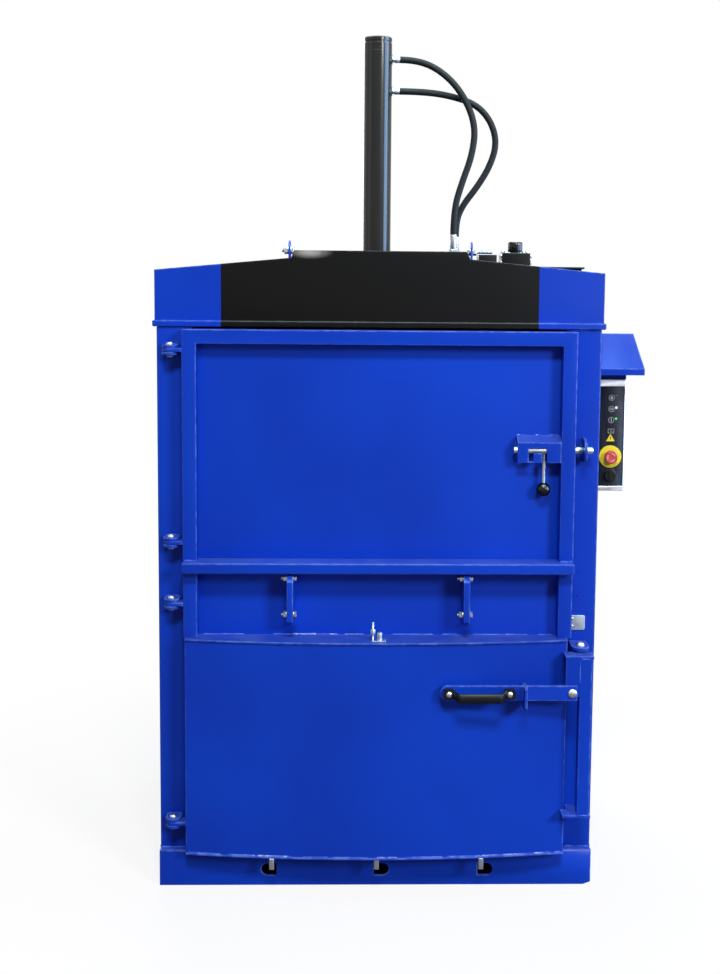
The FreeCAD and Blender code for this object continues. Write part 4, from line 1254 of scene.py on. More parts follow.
def dome(
    centre: Sequence[float], axis: Axis, face: float, way: int, radius: float, high: float
) -> Shell:
    """A domed head: a straight rim, then a quarter of an ellipse, (r cos a, h sin a).

    Args:
        centre: Its axis's places on the two other axes.
        axis: Its axis.
        face: The face under it.
        way: Plus or minus one, the side it stands out to.
        radius: Its radius.
        high: Its height.

    Returns:
        The surface.
    """
    angle = np.linspace(0.0, math.pi / 2 * 0.94, 8)
    rim = high * 0.25
    profile = [(radius, face)] + [
        (radius * math.cos(a), face + way * (rim + (high - rim) * math.sin(a))) for a in angle]
    return turned(profile, centre, axis, sides=32)


def bead(
    start: Sequence[float], end: Sequence[float], radius: float, seed: int, bow: float = 0.0,
    ripple: float = 0.0032,
) -> Shell:
    """A weld bead along an edge.

    A six-sided ring is carried from start to end; its radius is the bead's own times one plus a
    ripple, sin(2 pi s / pitch), plus a slow random swell, and it shrinks to nothing at both ends.

    Args:
        start: The bead's first point.
        end: Its last point.
        radius: Half its width.
        seed: The number that sets its random swell.
        bow: How far its middle stands forward of a straight line, as an arc.
        ripple: The pitch of its ripples.

    Returns:
        The surface.
    """
    first, last = np.asarray(start, float), np.asarray(end, float)
    length = float(np.linalg.norm(last - first))
    steps = max(8, int(length / ripple * 2.5))
    share = np.linspace(0.0, 1.0, steps)
    path = first + (last - first) * share[:, None]
    path[:, 1] -= bow * (1.0 - (2.0 * share - 1.0) ** 2)
    noise = np.random.default_rng(seed)
    knots = noise.uniform(-0.2, 0.2, max(4, int(length / 0.012)))
    swell = np.interp(share, np.linspace(0.0, 1.0, len(knots)), knots)
    ends = np.clip(np.minimum(share, 1.0 - share) * length / (2.0 * radius), 0.12, 1.0)
    size = radius * (1.0 + 0.16 * np.sin(2.0 * math.pi * share * length / ripple) + swell) * ends
    along = int(np.argmax(np.abs(last - first)))
    side, up = [index for index in range(3) if index != along]
    angle = np.linspace(0.0, 2.0 * math.pi, 8, endpoint=False)
    rings = np.repeat(path[:, None], 8, axis=1)
    rings[..., side] += size[:, None] * np.cos(angle)
    rings[..., up] += size[:, None] * np.sin(angle)
    return swept(rings)


# The machine's own sub-assemblies

@dataclass
class Cabinet:
    """The base tray, the columns, posts and walls, with their welds, and dark discs of painted
    shade for two small holes.
    """

    tube_edge: float = 0.0035
    sheet_edge: float = 0.0012
    tube_wide: float = 0.078
    weld: float = 0.0024
    side_weld_run: float = 0.12
    hole: float = 0.0022
    hole_shift: float = 0.004
    hole_lift: tuple[float, float] = (0.055, 0.128)
    shade_disc_proud: float = 0.0004
    shade_disc_deep: float = 0.001

    def build(self) -> None:
        """Dress the base and the cabinet."""
        softened("base_tray", ("base_front_beam", "base_side_beams", "base_back_beam"),
                 Look.BLUE, self.sheet_edge)
        softened("bottom_plate", ("base_plate",), Look.BLUE, self.sheet_edge)
        softened("floor_plate", ("chamber_floor",), Look.BLUE, self.sheet_edge)
        softened("front_tubes", ("front_columns",), Look.BLUE, self.tube_edge)
        softened("rear_tubes", ("rear_posts",), Look.BLUE, self.tube_edge)
        softened("side_sheets", ("side_walls",), Look.BLUE, self.sheet_edge)
        softened("back_sheet", ("back_wall",), Look.BLUE, self.sheet_edge)
        self.welds()
        self.column_holes()

    def welds(self) -> bpy.types.Object:
        """Beads where the columns stand on the base.

        Returns:
            The new piece.
        """
        low, high = span("front_columns")
        beads = []
        for seed, side in enumerate((-1, 1)):
            outer = side * high[0]
            inner = side * (high[0] - self.tube_wide)
            start, end = sorted((outer, inner))
            beads.append(bead((start, low[1], low[2]), (end, low[1], low[2]), self.weld, seed))
            beads.append(bead(
                (outer, low[1], low[2]), (outer, low[1] + self.side_weld_run, low[2]),
                self.weld, seed + 10))
        return piece("column_welds", beads, Look.BLUE, "frame")

    def column_holes(self) -> bpy.types.Object:
        """Two small tapped holes on the right column, above the interlock plate, drawn as dark
        discs of painted shade instead of real holes.

        Returns:
            The new piece.
        """
        low, high = span("interlock_plate")
        middle = (low[0] + high[0]) / 2 + self.hole_shift
        face = span("front_columns")[0][1]
        # Painted shade: a dark disc stands slightly proud where each hole's shade would be.
        shade_discs = [
            turned([(self.hole, face - self.shade_disc_proud), (self.hole, face + self.shade_disc_deep)],
                   (middle, high[2] + lift), Axis.Y, 16)
            for lift in self.hole_lift]
        return piece("column_hole_shades", shade_discs, Look.PLASTIC, "frame")


@dataclass
class Head:
    """The deck, cheeks and ends, with the black band, and the lifting lugs' bolts."""

    edge: float = 0.0012
    deck_edge: float = 0.004
    lug_bolt: Bolt = Bolt(flats=0.019, head=0.008, washer=0.012, shank=0.006)
    lug_bolt_drop: float = 0.027
    lug_thick: float = 0.006
    short_tail: float = 0.006
    long_tail: float = 0.044

    def build(self) -> None:
        """Dress the head."""
        softened("deck_plate", ("head_deck",), Look.DECK, self.deck_edge)
        softened("front_cheek", ("head_front_cheek",), Look.HEAD, self.edge)
        softened("back_cheek", ("head_back_cheek",), Look.BLUE, self.edge)
        softened("end_plates", ("head_ends",), Look.BLUE, self.edge)
        softened("lifting_lugs", ("head_lugs",), Look.BLUE, self.edge)
        self.lug_bolts()

    def lug_bolts(self) -> bpy.types.Object:
        """A bolt through each lug; the right one's long thread runs on over the tank.

        Returns:
            The new piece.
        """
        low, high = span("head_lugs")
        place = ((low[1] + high[1]) / 2, high[2] - self.lug_bolt_drop)
        shells: list[Shell] = []
        for side, tail in ((-1, self.short_tail), (1, self.long_tail)):
            outer = high[0] if side > 0 else low[0]
            inner = outer - side * self.lug_thick
            shells += self.lug_bolt.head_set(place, Axis.X, inner, -side)
            shells += self.lug_bolt.nut_set(place, Axis.X, outer, side, tail)
        return piece("lug_bolts", shells, Look.ZINC, "frame")


@dataclass
class PressCylinder:
    """The barrel with its cap, ports and mounting plate, the rod and the platen."""

    barrel_radius: float = 0.0425
    groove_deep: float = 0.0022
    groove_drop: float = 0.018
    plate_thick: float = 0.018
    plate_corner: float = 0.012
    foot_fillet: tuple[tuple[float, float], ...] = ((0.007, -0.001), (0.004, 0.004), (0.0, 0.009))
    boss_radius: float = 0.015
    port_radius: float = 0.010

    def build(self) -> None:
        """Dress the cylinder and what it drives."""
        low, high = span("cylinder_barrel")
        self.middle = ((low[0] + high[0]) / 2, (low[1] + high[1]) / 2)
        self.tube(low, high)
        self.cap()
        self.fittings()
        softened("ground_rod", ("piston_rod",), Look.CHROME, 0.0)
        softened("platen", ("press_platen",), Look.BLUE, 0.002)

    def tube(self, low: np.ndarray, high: np.ndarray) -> bpy.types.Object:
        """The barrel on its plate, with a weld fillet at its foot and bosses at its ports.

        Args:
            low: The barrel's low corner.
            high: The barrel's high corner.

        Returns:
            The new piece.
        """
        r = self.barrel_radius
        foot = low[2] + self.plate_thick
        profile = [(r + out, foot + up) for out, up in self.foot_fillet]
        profile += [(r, z) for z in np.linspace(foot + 0.02, high[2], 14)]
        corners = rounded_outline((low[0], low[1]), (high[0], high[1]), self.plate_corner)
        shells = [turned(profile, self.middle, Axis.Z, 96), plate(corners, Axis.Z, low[2], foot)]
        face = span("cylinder_fittings")[0][0]
        b = self.boss_radius
        for node_height in self.port_heights():
            boss = [(b + 0.003, self.middle[0] + r * 0.9), (b, self.middle[0] + r),
                    (b, face - 0.0006), (b - 0.0015, face)]
            shells.append(turned(boss, (self.middle[1], node_height), Axis.X, 32))
        return piece("barrel", shells, Look.BARREL, "frame", ("cylinder_barrel",), smooth=40.0)

    def port_heights(self) -> tuple[float, float]:
        """The heights of the two ports, which the fittings' solids give."""
        low, high = span("cylinder_fittings")
        return (high[2] - self.port_radius, low[2] + self.port_radius)

    def cap(self) -> bpy.types.Object:
        """The gland cap: a chamfered top with a shallow recess, and a groove round it.

        Returns:
            The new piece.
        """
        low, high = span("cylinder_cap")
        r = self.barrel_radius
        top, drop = high[2], self.groove_drop
        deep = r - self.groove_deep
        profile = [
            (r, low[2]), (r, top - drop), (deep, top - drop + 0.001), (deep, top - drop + 0.005),
            (r, top - drop + 0.006), (r, top - 0.003), (r - 0.003, top), (r * 0.72, top),
            (r * 0.70, top - 0.004), (r * 0.2, top - 0.004)]
        return piece(
            "barrel_cap", turned(profile, self.middle, Axis.Z, 96), Look.BARREL, "frame",
            ("cylinder_cap",), smooth=25.0)

    def fittings(self) -> bpy.types.Object:
        """At each port a hexagon, a smooth crimped sleeve, and its lip.

        Returns:
            The new piece.
        """
        low, high = span("cylinder_fittings")
        radius = self.port_radius
        shells = []
        for height in self.port_heights():
            spot = ((low[1] + high[1]) / 2, height)
            hexagon = [(radius * 0.94, low[0]), (radius, low[0] + 0.001), (radius, low[0] + 0.006)]
            shells.append(turned(hexagon, spot, Axis.X, 6))
            sleeve = [
                (radius * 0.94, low[0] + 0.006), (radius, low[0] + 0.008),
                (radius, high[0] - 0.004), (radius * 0.96, high[0] - 0.003),
                (radius, high[0] - 0.002), (radius, high[0])]
            shells.append(turned(sleeve, spot, Axis.X, 28))
        return piece(
            "hose_fittings", shells, Look.ZINC, "frame", ("cylinder_fittings",), smooth=20.0)


@dataclass
class PowerUnit:
    """The tank, valve block, pump head, terminal box and breather behind the head's cheek."""

    edge: float = 0.002
    tank_edge: float = 0.003
    screw: Bolt = Bolt(flats=0.010, head=0.005, washer=0.0068, shank=0.003)
    ribs: int = 24
    rib_deep: float = 0.035
    rim_points: int = 144

    def build(self) -> None:
        """Dress the power unit."""
        softened("tank", ("oil_tank",), Look.BLACK, self.tank_edge)
        softened("valve", ("valve_block",), Look.ALUMINIUM, self.edge)
        softened("pump", ("pump_head",), Look.BLACK, self.edge)
        softened("junction_box", ("terminal_box",), Look.PLASTIC, self.edge)
        self.sleeves()
        self.breather()
        self.screws()

    def sleeves(self) -> bpy.types.Object:
        """The hoses' lower ends: a hexagon foot, a smooth sleeve and its rolled lip.

        Returns:
            The new piece.
        """
        foot = span("valve_block")[1][2]
        shells = []
        for hose in HOSES:
            x, y, top = np.array(hose.route_mm[-1]) / 1000.0
            shells.append(turned(
                [(0.0125, foot), (0.013, foot + 0.001), (0.013, foot + 0.013),
                 (0.012, foot + 0.014)], (x, y), Axis.Z, 6))
            sleeve = [
                (0.0094, foot + 0.014), (0.010, foot + 0.016), (0.010, top - 0.004),
                (0.0096, top - 0.003), (0.010, top - 0.002), (0.010, top)]
            shells.append(turned(sleeve, (x, y), Axis.Z, 28))
        return piece("hose_sleeves", shells, Look.ZINC, "frame", ("valve_sleeves",), smooth=20.0)

    def breather(self) -> bpy.types.Object:
        """The breather: a neck and a ribbed cap; the rim's radius is r (1 + k cos(n v)).

        Returns:
            The new piece.
        """
        low, high = span("breather_cap")
        centre = ((low[0] + high[0]) / 2, (low[1] + high[1]) / 2)
        radius = (high[0] - low[0]) / 2
        neck = turned([(0.016, low[2]), (0.016, low[2] + 0.010)], centre, Axis.Z, 32)
        heights = np.array([0.003, 0.0045, 0.030, 0.0325, 0.034]) + low[2]
        shares = np.array([0.95, 1.0, 1.0, 0.95, 0.86])
        fade = np.array([0.0, 1.0, 1.0, 0.4, 0.0])
        angle = np.linspace(0.0, 2.0 * math.pi, self.rim_points, endpoint=False)
        wave = 1.0 - self.rib_deep * fade[:, None] * (0.5 - 0.5 * np.cos(self.ribs * angle))
        size = radius * shares[:, None] * wave
        rings = np.stack([
            centre[0] + size * np.cos(angle), centre[1] + size * np.sin(angle),
            np.repeat(heights[:, None], self.rim_points, axis=1)], axis=-1)
        return piece(
            "breather", [neck, swept(rings)], Look.BALL, "frame", ("breather_cap",), smooth=40.0)

    def screws(self) -> bpy.types.Object:
        """Socket screws on the pump head's top and sides.

        Returns:
            The new piece.
        """
        shells: list[Shell] = []
        low, high = span("pump_head")
        for x in (low[0] + 0.010, high[0] - 0.010):
            for y in (low[1] + 0.012, high[1] - 0.012):
                shells += self.screw.head_set((x, y), Axis.Z, high[2], 1)
        for z in (low[2] + 0.012, high[2] - 0.010):
            shells += self.screw.head_set((low[1] + 0.02, z), Axis.X, high[0], 1)
            shells += self.screw.head_set((low[1] + 0.02, z), Axis.X, low[0], -1)
        return piece("power_unit_screws", shells, Look.ZINC, "frame")


@dataclass
class Controls:
    """The control box, its bezel, panel marks, lamps, emergency stop, knob and rain hood."""

    mark_places: tuple[float, ...] = (1.417, 1.384, 1.352, 1.320)
    mark_line: float = 0.0011
    mark_shift: float = 0.001
    mark_rise: float = 0.0004
    ring_radius: float = 0.0085
    ring_sides: int = 24
    sign_bars: tuple[tuple[tuple[float, float, float, float], ...], ...] = (
        ((-0.003, -0.004, 0.003, 0.002), (-0.0012, 0.002, 0.0012, 0.005)),
        ((-0.005, -0.001, 0.005, 0.001), (0.001, -0.003, 0.003, 0.003)),
        ((-0.001, -0.005, 0.001, 0.005),),
    )
    side_bar: tuple[float, float, float, float] = (0.011, 0.0055, 0.0165, 0.0068)
    oblong_half: tuple[float, float] = (0.009, 0.0065)
    lamp_shift: float = 0.0145
    lamp_lift: float = 0.004
    lamp_rise: float = 0.0022
    warning_high: float = 1.299
    arc_starts: tuple[float, ...] = (20.0, 140.0, 260.0)
    arc_sweep: float = 74.0

    def build(self) -> None:
        """Dress the controls."""
        softened("box_shell", ("control_box",), Look.BLUE, 0.003)
        softened("bezel_shell", ("control_bezel",), Look.BEZEL, 0.0025)
        softened("panel_film", ("control_panel",), Look.PANEL, 0.0006)
        softened("rain_hood", ("control_hood",), Look.BLUE, 0.001)
        softened("stop_ring", ("stop_collar",), Look.YELLOW, 0.0008)
        self.face = span("control_panel")[0][1]
        low, high = span("stop_collar")
        self.centre = ((low[0] + high[0]) / 2, (low[2] + high[2]) / 2)
        self.marks()
        self.lamps()
        self.warning()
        self.stop_button()
        self.knob()

    def ring_mark(self, x: float, z: float, radius: float) -> Shell:
        """A thin raised ring, a square section carried round a circle.

        Args:
            x: Its middle across the panel.
            z: Its middle's height.
            radius: Its outer radius.

        Returns:
            The surface.
        """
        angle = np.linspace(0.0, 2.0 * math.pi, self.ring_sides + 1)[:-1]
        section = np.array([[0, 0], [1, 0], [1, 1], [0, 1]], float)
        size = radius - self.mark_line * section[:, 0]
        depth = self.face - self.mark_rise * section[:, 1] + 0.0001
        points = np.stack([
            x + size[None] * np.cos(angle)[:, None],
            np.repeat(depth[None], self.ring_sides, axis=0),
            z + size[None] * np.sin(angle)[:, None]], axis=-1)
        ring = swept(points)
        last = (self.ring_sides - 1) * 4
        ring.faces = ring.faces[:-2] + [
            (last + k, last + (k + 1) % 4, (k + 1) % 4, k) for k in range(4)]
        return ring

    def bar_mark(self, low: tuple[float, float], high: tuple[float, float]) -> Shell:
        """A thin raised bar between two corners of the panel."""
        return block((low[0], self.face - 0.0003, low[1]), (high[0], self.face + 0.0002, high[1]))

    def marks(self) -> bpy.types.Object:
        """Plain round signs with simple bars, and one framed oblong, down the panel.

        Returns:
            The new piece.
        """
        x = self.centre[0] + self.mark_shift
        shells = []
        for z, bars in zip(self.mark_places, self.sign_bars):
            shells.append(self.ring_mark(x, z, self.ring_radius))
            for left, low, right, high in (*bars, self.side_bar):
                shells.append(self.bar_mark((x + left, z + low), (x + right, z + high)))
        z, line = self.mark_places[3], self.mark_line
        wide, tall = self.oblong_half
        for low, high in (
            ((-wide, -tall), (wide, -tall + line)), ((-wide, tall - line), (wide, tall)),
            ((-wide, -tall), (-wide + line, tall)), ((wide - line, -tall), (wide, tall)),
            ((-0.001, -0.0045), (-0.001 + line, 0.0045)),
            ((0.002, -0.003), (0.006, -0.003 + line)),
        ):
            shells.append(self.bar_mark((x + low[0], z + low[1]), (x + high[0], z + high[1])))
        return piece("panel_marks", shells, Look.MARK, "frame")

    def lamps(self) -> None:
        """A white and a green lamp beside the second and third signs."""
        x = self.centre[0] + self.lamp_shift
        for name, index, look, radius in (
            ("white_lamp", 1, Look.WHITE_LAMP, 0.0036), ("green_lamp", 2, Look.GREEN_LAMP, 0.003)):
            z = self.mark_places[index] + self.lamp_lift
            lens = dome((x, z), Axis.Y, self.face, -1, radius, self.lamp_rise)
            piece(name, lens, look, "frame")

    def warning(self) -> None:
        """A yellow triangle with rounded corners above the stop, and a plain black bar on it."""
        x, z = self.centre[0], self.warning_high
        corners = np.array([[0.0, 0.0105], [-0.0105, -0.0075], [0.0105, -0.0075]])
        angle = np.linspace(0.0, 2.0 * math.pi, 12, endpoint=False)
        circle = 0.0012 * np.stack([np.cos(angle), np.sin(angle)], axis=-1)
        cloud = (corners[:, None] + circle).reshape(-1, 2)
        order = np.argsort(np.arctan2(cloud[:, 1], cloud[:, 0]))
        outline = cloud[order] + (x, z)
        sign = plate(hull(outline), Axis.Y, self.face - self.mark_rise, self.face + 0.0002)
        piece("warning_triangle", sign, Look.YELLOW, "frame")
        bar = block((x - 0.0012, self.face - 0.0007, z - 0.003), (x + 0.0012, self.face, z + 0.005))
        piece("warning_bar", bar, Look.PLASTIC, "frame")

    def stop_button(self) -> None:
        """The red head: a stem, a stepped rim and a dished top, with three pale arcs on it."""
        low, high = span("stop_button")
        r = (high[0] - low[0]) / 2
        front, back = low[1], low[1] + 0.013
        profile = [
            (0.008, high[1]), (0.008, back), (r * 0.93, back), (r, back - 0.002),
            (r, front + 0.004), (r * 0.96, front + 0.0015), (r * 0.86, front),
            (r * 0.6, front + 0.0004), (r * 0.3, front + 0.0012), (r * 0.06, front + 0.0014)]
        piece("stop_head", turned(profile, self.centre, Axis.Y, 48), Look.RED, "stop_button",
              ("stop_button",), smooth=35.0)
        arcs = []
        for start in np.radians(self.arc_starts):
            angle = start + np.linspace(0.0, math.radians(self.arc_sweep), 12)
            inner, outer = r * 0.50, r * 0.66
            edge = np.concatenate([
                np.stack([outer * np.cos(angle), outer * np.sin(angle)], axis=-1),
                np.stack([inner * np.cos(angle[::-1]), inner * np.sin(angle[::-1])], axis=-1)])
            arcs.append(plate(edge + self.centre, Axis.Y, front - 0.0003, front + 0.002))
        piece("stop_arrows", arcs, Look.MARK, "stop_button")

    def knob(self) -> bpy.types.Object:
        """The selector: a skirt and a head with a raised grip bar across it.

        Returns:
            The new piece.
        """
        low, high = span("selector_knob")
        centre = ((low[0] + high[0]) / 2, (low[2] + high[2]) / 2)
        front = low[1]
        body = turned([
            (0.019, high[1]), (0.019, high[1] - 0.002), (0.0165, high[1] - 0.003),
            (0.0160, front + 0.006), (0.0145, front + 0.004), (0.004, front + 0.004)],
            centre, Axis.Y, 48)
        grip = plate(
            rounded_outline((centre[0] - 0.0035, centre[1] - 0.0148),
                            (centre[0] + 0.0035, centre[1] + 0.0148), 0.003),
            Axis.Y, front, front + 0.006)
        return piece(
            "selector", [body, grip], Look.PLASTIC, "frame", ("selector_knob",), smooth=35.0)


def hull(points: np.ndarray) -> np.ndarray:
    """The convex outline of points that are already in order round their middle.

    Args:
        points: Points in order of angle.

    Returns:
        The points that aren't inside the line between their neighbours.
    """
    before, after = np.roll(points, 1, axis=0), np.roll(points, -1, axis=0)
    first, second = points - before, after - points
    bend = first[:, 0] * second[:, 1] - first[:, 1] * second[:, 0]
    kept = points[bend > 1e-12]
    return kept if len(kept) == len(points) else hull(kept)


@dataclass
class Hinges:
    """The fixed ears, the pins with their round heads, and the welds of the leaves."""

    leaf_half: float = 0.005
    gap: float = 0.001
    ear_thick: float = 0.008
    nose: float = 0.020
    head_radius: float = 0.0105
    head_high: float = 0.0088
    nut: Bolt = Bolt(flats=0.0165)
    nut_high: float = 0.007

    def build(self) -> None:
        """Dress the hinges."""
        softened("fixed_ears", ("hinge_ears",), Look.BLUE, 0.0012)
        softened("upper_leaves", ("upper_door_leaves",), Look.BLUE, 0.0015)
        softened("lower_leaves", ("lower_door_leaves",), Look.BLUE, 0.0015)
        self.pins()
        self.welds()

    def heights(self) -> tuple[list[float], list[float]]:
        """The middle heights of the upper and of the lower door's leaves.

        Returns:
            The upper door's leaves, then the lower door's.
        """
        result = []
        for node in ("upper_door_leaves", "lower_door_leaves"):
            low, high = span(node)
            result.append([high[2] - self.leaf_half, low[2] + self.leaf_half])
        return result[0], result[1]

    def pins(self) -> bpy.types.Object:
        """Turned pins: a domed silver head over the top ear and a nut under the bottom one.

        Returns:
            The new piece.
        """
        corner = span("upper_door_leaves")[0]
        x, y = corner[0] + self.nose, corner[1] + self.nose
        reach = self.leaf_half + self.gap + self.ear_thick
        shells: list[Shell] = []
        nuts: list[Shell] = []
        for height in sum(self.heights(), []):
            top, bottom = height + reach, height - reach
            shells.append(turned(
                [(PIN_RADIUS, bottom), (PIN_RADIUS, top + 0.001)], (x, y), Axis.Z))
            shells.append(dome((x, y), Axis.Z, top, 1, self.head_radius, self.head_high))
            nuts.append(self.nut.hexagon((x, y), Axis.Z, bottom, -1, self.nut_high))
        piece("hinge_nuts", nuts, Look.DULL, "frame")
        return piece("hinge_bolts", shells, Look.ZINC, "frame", ("hinge_pins",))

    def welds(self) -> None:
        """Beads where the leaves meet the doors' left stiles, and the ears the column."""
        for name, node, body, heights in (
            ("upper_leaf_welds", "upper_door_leaves", "upper_door", self.heights()[0]),
            ("lower_leaf_welds", "lower_door_leaves", "lower_door", self.heights()[1]),
        ):
            low, high = span(node)
            stile = span("upper_door_stiles")[0][0]
            beads = [
                bead((stile, low[1] + 0.004, height + side * self.leaf_half),
                     (stile, high[1] - 0.004, height + side * self.leaf_half), 0.0022, seed)
                for seed, (height, side) in enumerate(
                    (height, side) for height in heights for side in (-1, 1))]
            piece(name, beads, Look.BLUE, body)
        low, high = span("hinge_ears")
        face = span("front_columns")[0][1]
        reach = self.leaf_half + self.gap
        beads = []
        for seed, height in enumerate(sum(self.heights(), [])):
            for way in (-1, 1):
                z = height + way * (reach + self.ear_thick)
                start, end = (low[0] + 0.003, face, z), (high[0] - 0.003, face, z)
                beads.append(bead(start, end, 0.002, seed))
        piece("ear_welds", beads, Look.BLUE, "frame")


@dataclass
class UpperDoor:
    """The upper door: its welded frame, crossbar and panel."""

    tube_edge: float = 0.003
    bar_edge: float = 0.005
    sheet_edge: float = 0.0008
    bead_run: float = 0.040

    def build(self) -> None:
        """Dress the upper door."""
        softened("upper_frame", ("upper_door_stiles", "upper_door_top_rail"), Look.BLUE,
                 self.tube_edge)
        softened("crossbar", ("upper_door_crossbar",), Look.BLUE, self.bar_edge)
        softened("upper_panel", ("upper_door_panel",), Look.BLUE, self.sheet_edge)
        low, high = span("upper_door_crossbar")
        tube = span("upper_door_stiles")[0][1]
        beads = []
        for seed, (start, end) in enumerate((
            (low[0] + 0.002, low[0] + self.bead_run), (high[0] - self.bead_run, high[0] - 0.002))):
            beads.append(bead((start, tube, high[2]), (end, tube, high[2]), 0.0022, seed))
        piece("crossbar_welds", beads, Look.BLUE, "upper_door")


@dataclass
class Latch:
    """The latch: its slotted housing, sliding bolt, hanging handle and keeper."""

    bolt_radius: float = 0.010
    weld: float = 0.0018
    side_run: float = 0.016
    glint_weld: float = 0.0016
    glint_run: float = 0.010
    glint_lift: float = 0.0006
    glint_places: tuple[float, ...] = (0.0, 0.052, 0.126)

    def build(self) -> None:
        """Dress the latch."""
        softened("latch_cover", ("latch_housing",), Look.BLUE, 0.0012)
        softened("keeper_ear", ("latch_keeper",), Look.BLUE, 0.0012)
        self.bolt()
        self.handle()
        self.welds()

    def bolt(self) -> bpy.types.Object:
        """The round bolt with a chamfered nose and tail.

        Returns:
            The new piece.
        """
        low, high = span("latch_bolt")
        centre = ((low[1] + high[1]) / 2, (low[2] + high[2]) / 2)
        r = self.bolt_radius
        return piece("sliding_bolt", turned([
            (r - 0.0015, low[0]), (r, low[0] + 0.0015), (r, high[0] - 0.005),
            (r - 0.0025, high[0])], centre, Axis.X, 40), Look.ZINC, "latch_bolt", ("latch_bolt",))

    def handle(self) -> None:
        """The handle's rod, welded to the bolt with a small fillet, and its glossy ball."""
        low, high = span("latch_handle_rod")
        centre = ((low[0] + high[0]) / 2, (low[1] + high[1]) / 2)
        ball_low, ball_high = span("latch_ball")
        radius = (ball_high[2] - ball_low[2]) / 2
        middle = (ball_low[2] + ball_high[2]) / 2
        r = (high[0] - low[0]) / 2
        rod = [
            (r, middle + radius * 0.9), (r, high[2] - 0.006), (r + 0.0006, high[2] - 0.003),
            (r + 0.0018, high[2])]
        piece("handle_rod", turned(rod, centre, Axis.Z, 28), Look.ZINC, "latch_handle",
              ("latch_handle_rod",))
        angle = np.linspace(-math.pi / 2 * 0.985, math.pi / 2 * 0.78, 26)
        profile = np.stack([radius * np.cos(angle), middle + radius * np.sin(angle)], axis=-1)
        neck = np.array([[r + 0.003, middle + radius * 0.985]])
        ball = turned(np.concatenate([profile, neck]), centre, Axis.Z, 48)
        piece("handle_ball", ball, Look.BALL, "latch_handle", ("latch_ball",))

    def welds(self) -> None:
        """Tack beads along the housing's top and left edge on the panel, and at the keeper."""
        low, high = span("latch_housing")
        back = span("upper_door_panel")[0][1]
        top = [bead((x, back, high[2]), (x + run, back, high[2]), self.weld, seed)
               for seed, (x, run) in enumerate((
                   (low[0] + 0.001, 0.030), (low[0] + 0.048, 0.022), (high[0] - 0.034, 0.032)))]
        side = [bead((low[0], back, z), (low[0], back, z + self.side_run), self.weld, seed + 7)
                for seed, z in enumerate((low[2] + 0.002, low[2] + 0.040))]
        piece("latch_welds", top + side, Look.BLUE, "upper_door")
        # Painted highlight: near-white bits over the top beads stand for glints on the welds.
        y, z = back - self.glint_lift, high[2] + self.glint_lift
        bits = [bead((low[0] + x, y, z), (low[0] + x + self.glint_run, y, z), self.glint_weld,
                     seed + 30)
                for seed, x in enumerate(self.glint_places)]
        piece("latch_glint_tacks", bits, Look.BEAD_GLINT, "upper_door")
        low, high = span("latch_keeper")
        face = span("front_columns")[0][1]
        beads = [bead((x, face, low[2] + 0.002), (x, face, high[2] - 0.002), 0.0022, seed)
                 for seed, x in enumerate((low[0], high[0]))]
        piece("keeper_welds", beads, Look.BLUE, "frame")


